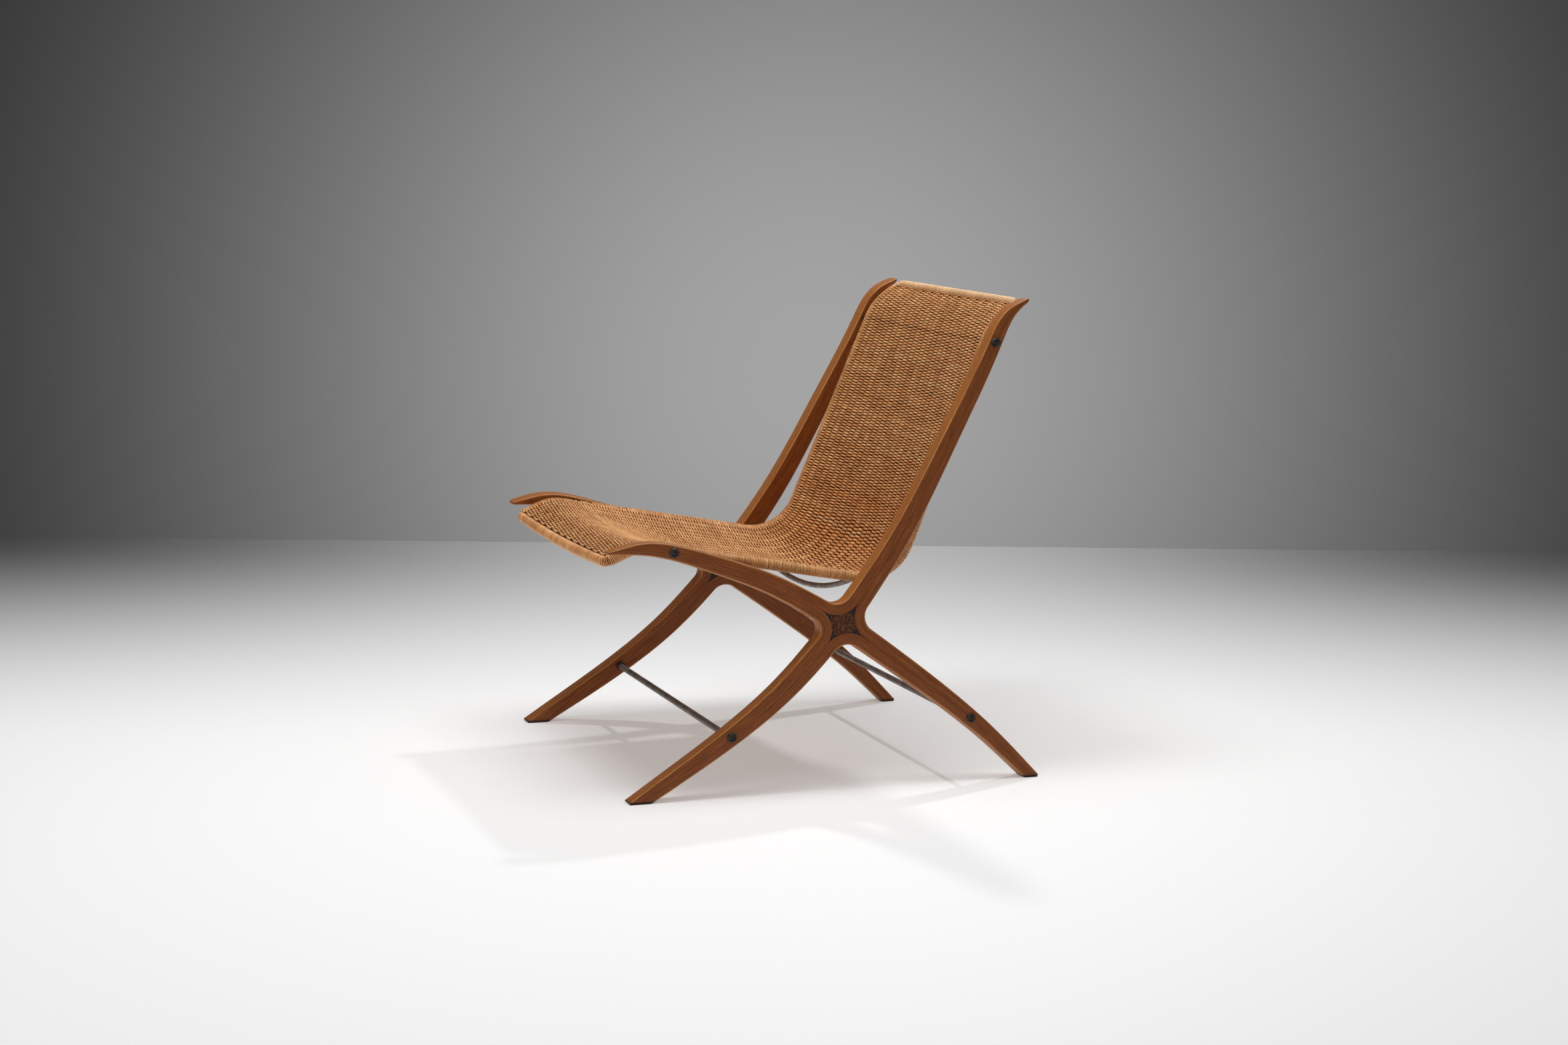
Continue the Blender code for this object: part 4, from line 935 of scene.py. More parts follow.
def laminated_wood(finishes, sizes):
    """Oiled laminate: dark pores, veneer edges as stripes, faces worn to orange, a pale band on the rounded
    edges that is partly worn wood and partly painted highlight, and darker right above the floor.
    """
    material = new_material("laminated_wood")
    tree = material.node_tree
    grain = add(tree, "ShaderNodeAttribute", attribute_name="grain").outputs["Vector"]
    open_face = add(tree, "ShaderNodeAttribute", attribute_name="open_face").outputs["Fac"]
    stripe = add(tree, "ShaderNodeAttribute", attribute_name="stripe").outputs["Fac"]
    parts = add(tree, "ShaderNodeSeparateXYZ", {0: grain}).outputs
    waver_place = add(tree, "ShaderNodeVectorMath", {
        0: grain, 1: VENEER_WAVER}, operation="MULTIPLY").outputs[0]
    waver = add(tree, "ShaderNodeTexNoise", {"Vector": waver_place, "Scale": 1.0}).outputs[0]
    drift = add(tree, "ShaderNodeMapRange", {0: waver, 3: -VENEER_DRIFT, 4: VENEER_DRIFT}).outputs[0]
    depth = add(tree, "ShaderNodeMath", {0: parts[1], 1: drift}, operation="ADD").outputs[0]
    layers = add(tree, "ShaderNodeMath", {0: depth, 1: sizes.veneer}, operation="DIVIDE").outputs[0]
    member = add(tree, "ShaderNodeMath", {0: parts[0], 1: MEMBER_STEP}, operation="SNAP").outputs[0]
    layer_place = add(tree, "ShaderNodeCombineXYZ", {0: layers, 1: member}).outputs[0]
    chance = add(tree, "ShaderNodeTexNoise", {"Vector": layer_place, "Scale": 1.0, "Detail": 1.0}).outputs[0]
    bands = add(tree, "ShaderNodeMapRange", {0: chance, 1: 0.3, 2: 0.7, 3: -0.5, 4: 0.5}).outputs[0]
    striped = add(tree, "ShaderNodeMath", {0: bands, 1: stripe}, operation="MULTIPLY").outputs[0]
    streak_place = add(tree, "ShaderNodeVectorMath", {
        0: grain, 1: WOOD_STREAKS}, operation="MULTIPLY").outputs[0]
    streak = add(tree, "ShaderNodeTexNoise", {
        "Vector": streak_place, "Scale": 1.0, "Detail": 4.0, "Roughness": 0.6}).outputs[0]
    streaks = add(tree, "ShaderNodeMapRange", {0: streak, 1: 0.3, 2: 0.7, 3: -0.3, 4: 0.3}).outputs[0]
    both = add(tree, "ShaderNodeMath", {0: striped, 1: streaks}, operation="ADD").outputs[0]
    tone = add(tree, "ShaderNodeMath", {0: both, 1: 0.5}, operation="ADD", use_clamp=True).outputs[0]
    deep = add(tree, "ShaderNodeMapRange", {0: tone, 1: 0.0, 2: 0.5}).outputs[0]
    warm = add(tree, "ShaderNodeMapRange", {0: tone, 1: 0.55, 2: 1.0}).outputs[0]
    edge_wood = add(tree, "ShaderNodeMix", {
        0: deep, 6: finishes.wood_dark, 7: finishes.wood_side}, data_type="RGBA").outputs[2]
    side = add(tree, "ShaderNodeMix", {
        0: warm, 6: edge_wood, 7: finishes.wood_stripe}, data_type="RGBA").outputs[2]
    face = add(tree, "ShaderNodeMix", {
        0: tone, 6: finishes.wood_stripe, 7: finishes.wood_face}, data_type="RGBA").outputs[2]
    body = add(tree, "ShaderNodeMix", {0: open_face, 6: side, 7: face}, data_type="RGBA").outputs[2]
    pore_place = add(tree, "ShaderNodeVectorMath", {
        0: grain, 1: WOOD_PORES}, operation="MULTIPLY").outputs[0]
    pore = add(tree, "ShaderNodeTexNoise", {"Vector": pore_place, "Scale": 1.0, "Detail": 2.0}).outputs[0]
    pores = add(tree, "ShaderNodeMapRange", {0: pore, 1: 0.53, 2: 0.68, 3: 0.0, 4: 0.6}).outputs[0]
    pored = add(tree, "ShaderNodeMix", {
        0: pores, 6: body, 7: finishes.wood_dark}, data_type="RGBA").outputs[2]
    past_edge = add(tree, "ShaderNodeMath", {0: open_face, 1: 0.5}, operation="SUBTRACT").outputs[0]
    off_edge = add(tree, "ShaderNodeMath", {0: past_edge}, operation="ABSOLUTE").outputs[0]
    # Pale band along the rounded edges, partly worn wood and partly painted highlight on the arrises.
    near_edge = add(tree, "ShaderNodeMapRange", {0: off_edge, 1: 0.22, 2: 0.04, 3: 0.0, 4: 1.0}).outputs[0]
    rub = add(tree, "ShaderNodeMapRange", {0: streak, 1: 0.35, 2: 0.65, 3: 0.15, 4: 0.7}).outputs[0]
    wear_and_highlight = add(tree, "ShaderNodeMath", {0: near_edge, 1: rub}, operation="MULTIPLY").outputs[0]
    worn = add(tree, "ShaderNodeMix", {0: wear_and_highlight, 6: pored, 7: finishes.wood_worn_and_highlit}, data_type="RGBA").outputs[2]
    place = add(tree, "ShaderNodeTexCoord").outputs["Object"]
    height = add(tree, "ShaderNodeSeparateXYZ", {0: place}).outputs[2]
    # Darker within a few millimetres of the floor.
    near_floor = add(tree, "ShaderNodeMapRange", {
        0: height, 1: SOLE_DARKENING_TOP, 2: SOLE_DARKENING_FULL, 3: 0.0, 4: 0.9}).outputs[0]
    darkened_low = add(tree, "ShaderNodeMix", {
        0: near_floor, 6: worn, 7: linear(SOLE_DARKENING)}, data_type="RGBA").outputs[2]
    gloss = add(tree, "ShaderNodeMapRange", {0: streak, 1: 0.3, 2: 0.7, 3: 0.36, 4: 0.5}).outputs[0]
    bump = add(tree, "ShaderNodeBump", {"Strength": 0.3, "Distance": 0.0002, "Height": pore}).outputs[0]
    shader = add(tree, "ShaderNodeBsdfPrincipled", {
        "Base Color": darkened_low, "Roughness": gloss, "Specular IOR Level": 0.22, "Normal": bump})
    add(tree, "ShaderNodeOutputMaterial", {0: shader.outputs[0]})
    return material


def end_grain(finishes):
    """Dark end grain with rusty speckle, and black corners with crumbs of pale filler."""
    material = new_material("end_grain")
    tree = material.node_tree
    coordinates = add(tree, "ShaderNodeTexCoord").outputs
    place = coordinates["Object"]
    speckle = add(tree, "ShaderNodeTexNoise", {
        "Vector": place, "Scale": KEY_SPECKLE, "Detail": 4.0, "Roughness": 0.7}).outputs[0]
    cloud = add(tree, "ShaderNodeTexNoise", {"Vector": place, "Scale": KEY_PATCHES, "Detail": 3.0}).outputs[0]
    tone = add(tree, "ShaderNodeMapRange", {0: speckle, 1: 0.4, 2: 0.66}).outputs[0]
    dark = add(tree, "ShaderNodeMix", {
        0: tone, 6: linear(KEY_PORES), 7: finishes.key}, data_type="RGBA").outputs[2]
    warm = add(tree, "ShaderNodeMapRange", {0: cloud, 1: 0.5, 2: 0.68, 3: 0.0, 4: 0.8}).outputs[0]
    body = add(tree, "ShaderNodeMix", {0: warm, 6: dark, 7: linear(KEY_RUST)}, data_type="RGBA").outputs[2]
    off_middle = add(tree, "ShaderNodeVectorMath", {
        0: coordinates["Generated"], 1: (0.5, 0.5, 0.5)}, operation="SUBTRACT").outputs[0]
    in_face = add(tree, "ShaderNodeVectorMath", {
        0: off_middle, 1: (0.0, 1.0, 1.0)}, operation="MULTIPLY").outputs[0]
    from_middle = add(tree, "ShaderNodeVectorMath", {0: in_face}, operation="LENGTH").outputs["Value"]
    corner = add(tree, "ShaderNodeMapRange", {0: from_middle, 1: 0.3, 2: 0.36}).outputs[0]
    crumbs = add(tree, "ShaderNodeMapRange", {0: speckle, 1: 0.6, 2: 0.66}).outputs[0]
    filler = add(tree, "ShaderNodeMix", {
        0: crumbs, 6: linear(KEY_GAP), 7: linear(KEY_FILLER)}, data_type="RGBA").outputs[2]
    whole = add(tree, "ShaderNodeMix", {0: corner, 6: body, 7: filler}, data_type="RGBA").outputs[2]
    bump = add(tree, "ShaderNodeBump", {"Strength": 0.5, "Distance": 0.0004, "Height": speckle}).outputs[0]
    shader = add(tree, "ShaderNodeBsdfPrincipled", {
        "Base Color": whole, "Roughness": 0.62, "Specular IOR Level": 0.2, "Normal": bump})
    add(tree, "ShaderNodeOutputMaterial", {0: shader.outputs[0]})
    return material


def peeled_cane(name, finishes, base, patina_share):
    """Peeled cane: pale on a crest where a strand shows and faces out of the weave, partly worn cane and
    partly painted highlight; dark where it dives, where it turns sideways and where its tone is below zero,
    partly stain and partly painted shade.
    """
    material = new_material(name)
    tree = material.node_tree
    place = add(tree, "ShaderNodeTexCoord").outputs["Object"]
    tone = add(tree, "ShaderNodeAttribute", attribute_name="tone").outputs["Fac"]
    crest = add(tree, "ShaderNodeAttribute", attribute_name="crest").outputs["Fac"]
    lift = add(tree, "ShaderNodeAttribute", attribute_name="lift").outputs["Vector"]
    normal = add(tree, "ShaderNodeNewGeometry").outputs["Normal"]
    # How square a surface faces out of the weave; flanks turned sideways get darker, which is painted shade
    # between the strands.
    facing = add(tree, "ShaderNodeVectorMath", {0: normal, 1: lift}, operation="DOT_PRODUCT").outputs["Value"]
    side = add(tree, "ShaderNodeMath", {0: facing}, operation="SIGN").outputs[0]
    outer = add(tree, "ShaderNodeMath", {0: crest, 1: side}, operation="MULTIPLY").outputs[0]
    square_on = add(tree, "ShaderNodeMath", {0: facing}, operation="ABSOLUTE").outputs[0]
    sunk = add(tree, "ShaderNodeMath", {0: tone, 1: 0.0}, operation="MINIMUM").outputs[0]
    turned_out = add(tree, "ShaderNodeMath", {
        0: square_on, 1: 0.52, 2: sunk}, operation="MULTIPLY_ADD").outputs[0]
    exposed_and_lit = add(tree, "ShaderNodeMath", {
        0: outer, 1: 0.48, 2: turned_out}, operation="MULTIPLY_ADD").outputs[0]
    fibre_place = add(tree, "ShaderNodeVectorMath", {
        0: place, 1: CANE_FIBRES}, operation="MULTIPLY").outputs[0]
    fibre = add(tree, "ShaderNodeTexNoise", {"Vector": fibre_place, "Scale": 1.0, "Detail": 3.0}).outputs[0]
    cloud = add(tree, "ShaderNodeTexNoise", {
        "Vector": place, "Scale": CANE_PATCHES, "Detail": 4.0}).outputs[0]
    spread = add(tree, "ShaderNodeMath", {0: tone, 1: fibre}, operation="ADD").outputs[0]
    pale_share = add(tree, "ShaderNodeMapRange", {0: spread, 1: 0.5, 2: 1.6, 3: 0.1, 4: 0.7}).outputs[0]
    fresh = add(tree, "ShaderNodeMix", {
        0: pale_share, 6: base, 7: finishes.cane_pale}, data_type="RGBA").outputs[2]
    worn = add(tree, "ShaderNodeMapRange", {0: cloud, 1: 0.4, 2: 0.66, 3: 0.0, 4: patina_share}).outputs[0]
    used = add(tree, "ShaderNodeMix", {
        0: worn, 6: fresh, 7: finishes.cane_patina}, data_type="RGBA").outputs[2]
    # Stain colour in the hollows and on the flanks, pale cane on the crests: partly patina and worn cane,
    # partly painted shade and painted highlight.
    rubbed_and_lit = add(tree, "ShaderNodeMapRange", {
        0: exposed_and_lit, 1: 0.22, 2: 0.8}, interpolation_type="SMOOTHSTEP").outputs[0]
    body = add(tree, "ShaderNodeMix", {
        0: rubbed_and_lit, 6: finishes.cane_stain_and_shade, 7: used}, data_type="RGBA").outputs[2]
    shine = add(tree, "ShaderNodeMapRange", {0: rubbed_and_lit, 3: 0.02, 4: 0.55}).outputs[0]
    bump = add(tree, "ShaderNodeBump", {"Strength": 0.2, "Distance": 0.0002, "Height": fibre}).outputs[0]
    shader = add(tree, "ShaderNodeBsdfPrincipled", {
        "Base Color": body, "Roughness": 0.38, "Specular IOR Level": shine, "Normal": bump})
    add(tree, "ShaderNodeOutputMaterial", {0: shader.outputs[0]})
    return material


def aged_metal(name, base, dark, roughness):
    """Steel that has gone brown and blotchy, with its drawn sheen left."""
    material = new_material(name)
    tree = material.node_tree
    place = add(tree, "ShaderNodeTexCoord").outputs["Object"]
    blotch = add(tree, "ShaderNodeTexNoise", {
        "Vector": place, "Scale": METAL_BLOTCHES, "Detail": 3.0}).outputs[0]
    share = add(tree, "ShaderNodeMapRange", {0: blotch, 1: 0.3, 2: 0.7}).outputs[0]
    body = add(tree, "ShaderNodeMix", {0: share, 6: dark, 7: base}, data_type="RGBA").outputs[2]
    gloss = add(tree, "ShaderNodeMapRange", {
        0: blotch, 1: 0.3, 2: 0.7, 3: roughness + 0.12, 4: roughness - 0.05}).outputs[0]
    shader = add(tree, "ShaderNodeBsdfPrincipled", {"Base Color": body, "Roughness": gloss, "Metallic": 0.3})
    add(tree, "ShaderNodeOutputMaterial", {0: shader.outputs[0]})
    return material


def hard_rubber(finishes):
    """Dull black spacer rubber."""
    material = new_material("hard_rubber")
    tree = material.node_tree
    place = add(tree, "ShaderNodeTexCoord").outputs["Object"]
    dust = add(tree, "ShaderNodeTexNoise", {"Vector": place, "Scale": RUBBER_DUST, "Detail": 3.0}).outputs[0]
    share = add(tree, "ShaderNodeMapRange", {0: dust, 1: 0.5, 2: 0.75, 3: 0.0, 4: 0.3}).outputs[0]
    body = add(tree, "ShaderNodeMix", {
        0: share, 6: finishes.rubber, 7: linear(DUST)}, data_type="RGBA").outputs[2]
    shader = add(tree, "ShaderNodeBsdfPrincipled", {"Base Color": body, "Roughness": 0.6})
    add(tree, "ShaderNodeOutputMaterial", {0: shader.outputs[0]})
    return material


class CHAIR_OT_side_frames(Operator):
    """Four bent laminations and the key of each X frame"""
    bl_idname = "chair.side_frames"
    bl_label = "Side frames"

    def execute(self, context):
        sizes = context.scene.chair_wood
        wood = laminated_wood(context.scene.chair_finishes, sizes)
        dark = end_grain(context.scene.chair_finishes)
        curves = make_curves(make_arms())
        number = 0
        for side, side_name in SIDE_NAMES.items():
            for label, curve in curves.items():
                number += 1
                node = f"{side_name}_{label}_lamination"
                piece = make_lamination(f"{node}_veneers", curve, side, number, STRIPES[label], sizes, wood)
                dress(piece, "laminated_wood", node)
            node = f"{side_name}_crossing_key"
            dress(make_key(f"{node}_end_grain", list(curves.values()), side, dark), "end_grain", node)
        return {"FINISHED"}


def fastening_places(nodes, spin):
    """Points at the middles of named solids, each with the turn that faces a fastening outwards."""
    rng = np.random.default_rng(SEED)
    mesh = bpy.data.meshes.new("places")
    places = []
    turns = []
    for node in nodes:
        low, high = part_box(node)
        side = LEFT if low.x > 0.0 else RIGHT
        places.append((low + high) / 2)
        facing = Matrix.Rotation(-side * FRAME_LEAN, 3, "Y")
        if side == RIGHT:
            facing = facing @ Matrix.Rotation(math.pi, 3, "Z")
        facing = facing @ Matrix.Rotation(rng.uniform(0.0, spin), 3, "X")
        turns.extend(facing.to_euler())
    mesh.from_pydata(places, [], [])
    mesh.attributes.new("turn", "FLOAT_VECTOR", "POINT").data.foreach_set("vector", turns)
    return mesh


class CHAIR_OT_fastenings(Operator):
    """Screws, cup washers, bushes and ferrules"""
    bl_idname = "chair.fastenings"
    bl_label = "Fastenings"

    def execute(self, context):
        finishes = context.scene.chair_finishes
        black = aged_metal("blackened_steel", finishes.blackened, linear(BLACKENED_DARK), roughness=0.42)
        rubber = hard_rubber(finishes)
        tree = fastening_tree()
        kinds = {
            "screws": ("screw", screw_head(), black, "blackened_steel", math.pi / 2),
            "cup_washers": ("washer", cup_washer(), black, "blackened_steel", 0.0),
            "shell_bushes": ("bush", bush("bush"), rubber, "spacer", 0.0),
            "rod_ferrules": ("ferrule", bush("ferrule"), rubber, "spacer", 0.0)}
        for name, (word, template, material, slot, spin) in kinds.items():
            nodes = sorted(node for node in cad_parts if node.endswith(f"_{word}"))
            places = fastening_places(nodes, spin)
            piece = grow(name, places, tree, {"Piece": template, "Material": material})
            bpy.data.objects.remove(template)
            dress(piece, slot, *nodes)
        return {"FINISHED"}


def node_profile(node):
    """Length along the screw's axis and outer radius of a turned solid, from its box."""
    low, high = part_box(node)
    return high.x - low.x, (high.z - low.z) / 2


def screw_head():
    """Raised countersunk head on its shank, with a cross recess, centred on the middle of its solid."""
    reach, _ = node_profile("left_seat_screw")
    top = reach / 2
    profile = [(top, 0.0)]
    for share in np.linspace(0.2, 1.0, HEAD_STATIONS):
        profile.append((top - SCREW_HEAD_RISE * share ** 2, SCREW_HEAD_RADIUS * share))
    profile += [
        (top - SCREW_HEAD_RISE - SCREW_RIM, SCREW_HEAD_RADIUS), (top - SCREW_HEAD_DEPTH, SCREW_SHANK_RADIUS),
        (-top, SCREW_SHANK_RADIUS), (-top, 0.0)]
    screw = turned("screw", profile)
    bm = bmesh.new()
    for width, height in ((RECESS_LENGTH, RECESS_WIDTH), (RECESS_WIDTH, RECESS_LENGTH)):
        made = bmesh.ops.create_cube(bm, size=1.0)
        bmesh.ops.scale(bm, vec=(RECESS_HEIGHT, width, height), verts=made["verts"])
        bmesh.ops.translate(bm, vec=(top, 0.0, 0.0), verts=made["verts"])
    mesh = bpy.data.meshes.new("recess")
    bm.to_mesh(mesh)
    bm.free()
    recess = add_object("recess", mesh)
    cut = screw.modifiers.new("recess", "BOOLEAN")
    cut.operation = "DIFFERENCE"
    cut.object = recess
    cut.use_self = True
    depsgraph = bpy.context.evaluated_depsgraph_get()
    screw_mesh = bpy.data.meshes.new_from_object(screw.evaluated_get(depsgraph))
    screw.modifiers.clear()
    screw.data = screw_mesh
    bpy.data.objects.remove(recess)
    return screw


def cup_washer():
    """Cup washer with a rolled rim."""
    reach, rim = node_profile("left_seat_washer")
    base = -reach / 2
    profile = [
        (base, WASHER_HOLE), (base + WASHER_SHEET, WASHER_HOLE), (base + reach - WASHER_SHEET, WASHER_MOUTH)]
    for share in np.linspace(0.0, 1.0, RIM_STATIONS):
        turn = math.pi / 2 * share
        radius = WASHER_MOUTH + WASHER_LIP + (rim - WASHER_MOUTH - WASHER_LIP) * math.sin(turn)
        profile.append((base + reach * math.cos(turn), radius))
    return turned("washer", profile)


def bush(word):
    """Spacer with rounded rims."""
    node = "left_seat_bush" if word == "bush" else "left_front_ferrule"
    reach, rim = node_profile(node)
    half = reach / 2
    profile = [(half, SPACER_BORE)]
    for end in (1, -1):
        for turn in np.linspace(math.pi / 2, 0.0, FILLET_STATIONS)[::end]:
            along = end * (half - SPACER_FILLET * (1 - math.sin(turn)))
            profile.append((along, rim - SPACER_FILLET * (1 - math.cos(turn))))
    profile.append((-half, SPACER_BORE))
    return turned("bush", profile)


class CHAIR_OT_steel_rods(Operator):
    """Stretchers, brace and the finish of the rails inside the cane"""
    bl_idname = "chair.steel_rods"
    bl_label = "Steel rods"

    def execute(self, context):
        finishes = context.scene.chair_finishes
        steel = aged_metal("aged_steel", finishes.steel, linear(STEEL_DARK), roughness=0.45)
        for node in ("front_stretcher", "rear_stretcher"):
            low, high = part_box(node)
            middle = (low + high) / 2
            xs = np.linspace(low.x, high.x, STRETCHER_STATIONS)
            points = np.stack(np.broadcast_arrays(xs, middle.y, middle.z), axis=-1)
            dress(rod_along(f"{node}_rod", points, (high.z - low.z) / 2, steel), "steel", node)
        low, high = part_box("seat_brace")
        radius = (high.y - low.y) / 2
        across = np.linspace(-1.0, 1.0, BRACE_STATIONS)
        bow = high.z - low.z - 2 * radius
        heights = high.z - radius - bow * (1.0 - across ** 2)
        points = np.stack(np.broadcast_arrays(high.x * across, (low.y + high.y) / 2, heights), axis=-1)
        dress(rod_along("seat_brace_rod", points, radius, steel), "steel", "seat_brace")
        for node in ("left_side_rail", "right_side_rail", "front_rail", "top_rail"):
            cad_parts[node].data.materials.clear()
            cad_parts[node].data.materials.append(steel)
        return {"FINISHED"}


def strand_mesh(name, strands):
    """Mesh of open polylines with what the strand tree reads: lift, phase, swing, girth and tone."""
    mesh = bpy.data.meshes.new(name)
    points = np.concatenate([strand["points"] for strand in strands])
    edges = []
    first = 0
    for strand in strands:
        count = len(strand["points"])
        index = np.arange(first, first + count - 1)
        edges.append(np.stack([index, index + 1], axis=-1))
        first += count
    mesh.from_pydata(points, np.concatenate(edges).tolist(), [])
    for key in ("phase", "swing", "girth", "tone"):
        values = np.concatenate([np.broadcast_to(s[key], len(s["points"])) for s in strands])
        mesh.attributes.new(key, "FLOAT", "POINT").data.foreach_set("value", values.astype(np.float32))
    lifts = np.concatenate([strand["lift"] for strand in strands]).astype(np.float32)
    mesh.attributes.new("lift", "FLOAT_VECTOR", "POINT").data.foreach_set("vector", lifts.ravel())
    return mesh


def over_rail(shell, side, reach, turns, radius):
    """Points and outward directions round a side rail, at turns counted from its outside up and inwards."""
    rail = shell.rail(side, np.atleast_1d(reach))
    up = shell.upward(np.atleast_1d(reach))
    spokes = np.cos(turns)[:, None] * np.array([[side, 0.0, 0.0]]) + np.sin(turns)[:, None] * up
    return rail + radius * spokes, spokes


def warp_spacing(sizes):
    """Share of the half width from one warp to the next; the outer warps lie closer to the rails."""
    return 2.0 / (sizes.warp_count - 1 + 2 * EDGE_WARP)


def weave_height(reach):
    """Height of the weave's middle over the plane of the rails; at the front it laps over the binding."""
    binding = RAIL_RADIUS + FRONT_BINDING_THICKNESS
    bulge = np.sqrt(np.clip(binding ** 2 - np.asarray(reach) ** 2, 0.0, None))
    return np.maximum(CANE_MIDDLE, bulge + LAP_LIFT)


def loose_end(reach):
    """How a row's right end lies: None where it has broken off, else how far it has slid along the rail."""
    for start, run in LOOSE_ENDS:
        past = reach - start
        if 0.0 <= past < run:
            return None
        if run <= past < run + LOOSE_TAIL:
            return -LOOSE_SLIDE * run
    return 0.0


def weft_strand(shell, row, reach, sizes, rng):
    """One woven row, from over the right rail, across the warps, to over the left rail."""
    wind = RAIL_RADIUS + sizes.wind_thickness + HOOK_LIFT
    meet = math.asin(min(STEEPEST_MEET, CANE_MIDDLE / wind))
    half_width = shell.rail(LEFT, np.array([reach]))[0, 0]
    half = 1.0 - wind * math.cos(meet) / half_width
    spacing = warp_spacing(sizes)
    slid = loose_end(reach)
    first = EDGE_WARP * spacing - 1.0 if slid is None else -half
    steps = round(STEPS_PER_WARP * (half - first) / spacing)
    across = np.linspace(first, half, steps + 1)
    wave = across * rng.uniform(*WOBBLE_WAVES) + rng.uniform(0.0, WOBBLE_START)
    wobble = rng.normal(0.0, ROW_WOBBLE) + ROW_WOBBLE * np.sin(wave)
    warps = (across + 1.0) / spacing - EDGE_WARP
    from_rail = (1.0 - np.abs(across)) / spacing
    swing = smoothstep((from_rail - SWING_SHARES[0]) / SWING_SHARES[1])
    girth = EDGE_GIRTH + (1.0 - EDGE_GIRTH) * smoothstep((from_rail - GIRTH_SHARES[0]) / GIRTH_SHARES[1])
    right_slide = slid or 0.0
    places = reach + wobble + right_slide * smoothstep(1.0 - (across + 1.0) / spacing)
    girth = girth * shell.stretch(across, reach)
    turns = np.linspace(math.pi - meet, HOOK_END, HOOK_STATIONS + 1)[1:]
    points, lift = over_rail(shell, LEFT, reach + rng.normal(0.0, ROW_WOBBLE), turns, wind)
    points = np.concatenate([shell.surface(across, places, weave_height(reach)), points])
    lift = np.concatenate([shell.upward(places), lift])
    before = 0
    if slid is not None:
        before = HOOK_STATIONS
        hook, hook_lift = over_rail(shell, RIGHT, reach + right_slide, turns[::-1], wind)
        points = np.concatenate([hook, points])
        lift = np.concatenate([hook_lift, lift])
    padding = (before, HOOK_STATIONS)
    ripple = GIRTH_RIPPLE * np.sin(np.linspace(0.0, rng.uniform(*RIPPLE_TURNS), len(points)))
    return {
        "points": points, "lift": lift, "phase": np.pad(warps, padding, mode="edge") + row,
        "swing": np.pad(swing, padding), "tone": rng.uniform(0.0, 1.0),
        "girth": np.pad(girth, padding, mode="edge") * (rng.normal(1.0, GIRTH_SPREAD) + ripple)}


def warp_strand(shell, number, start, end, rows, sizes, rng):
    """One warp from the front rail to the top rail, deep in the weave and painted dark all over, partly as
    stain and partly as painted shade.
    """
    across = (number + EDGE_WARP) * warp_spacing(sizes) - 1.0
    reach = np.linspace(start, end, rows)
    points = shell.surface(np.full(rows, across), reach, weave_height(reach) - WARP_DEPTH)
    # A tone of -1 gives the whole warp the stain colour: partly stain, partly painted shade.
    return {
        "points": points, "lift": shell.upward(reach), "phase": 1.0, "swing": 1.0,
        "girth": rng.normal(1.0, WARP_SPREAD), "tone": -1.0}


def twined_strands(shell, reach, sizes, rng):
    """Two strands twisted round each other along an edge of the weave, half a twist to each warp."""
    spacing = warp_spacing(sizes)
    steps = TWINE_STEPS * sizes.warp_count + 1
    across = np.linspace(-1.0, 1.0, steps) * (1.0 - EDGE_WARP * spacing / 2)
    warps = (across + 1.0) / spacing
    strands = []
    for start in (0.0, 1.0):
        twist = math.pi * (warps + start)
        places = reach + TWINE_SPREAD * np.sin(twist)
        points = shell.surface(across, places, weave_height(reach) + TWINE_RISE * np.cos(twist))
        strands.append({
            "points": points, "lift": shell.upward(places), "phase": warps + start, "swing": 1.0,
            "girth": 1.0, "tone": rng.uniform(*TWINE_TONES)})
    return strands


class CHAIR_OT_woven_cane(Operator):
    """Woven seat and back: rows over and under the warps, strand by strand"""
    bl_idname = "chair.woven_cane"
    bl_label = "Woven cane"

    def execute(self, context):
        sizes = context.scene.chair_cane
        finishes = context.scene.chair_finishes
        shell = CaneShell(make_arms())
        rng = np.random.default_rng(SEED)
        cane = peeled_cane("woven_cane", finishes, finishes.cane, patina_share=0.4)
        tree = strand_tree()
        start = FRONT_LAP * (RAIL_RADIUS + FRONT_BINDING_THICKNESS)
        end = shell.length - RAIL_RADIUS - TOP_BINDING_THICKNESS
        last = end - sizes.top_gap
        count = round((last - start) / sizes.row_pitch) + 1
        places = np.linspace(start, last, count)
        rows = [weft_strand(shell, i, reach, sizes, rng) for i, reach in enumerate(places)]
        values = {
            "Rise": sizes.weft_rise, "Flatness": sizes.weft_flatness, "Width": sizes.weft_width,
            "Thickness": sizes.weft_thickness, "Sides": STRAND_SIDES, "Material": cane}
        names = ("seat_front_weft", "seat_rear_weft", "back_lower_weft", "back_upper_weft")
        for name, numbers in zip(names, np.array_split(np.arange(count), len(names))):
            base = strand_mesh("rows", [rows[i] for i in numbers])
            dress(grow(name, base, tree, values), "cane", "cane_panel")
        warps = [warp_strand(shell, k, start, end, count, sizes, rng) for k in range(sizes.warp_count)]
        values.update({"Rise": 0.0, "Width": sizes.warp_width, "Thickness": sizes.warp_thickness})
        dress(grow("cane_warps", strand_mesh("warps", warps), tree, values), "cane", "cane_panel")
        twined = twined_strands(shell, last + sizes.top_gap / 2, sizes, rng)
        values.update({"Width": sizes.twine_width, "Thickness": sizes.twine_width})
        dress(grow("twined_edge", strand_mesh("twined", twined), tree, values), "cane", "cane_panel")
        return {"FINISHED"}


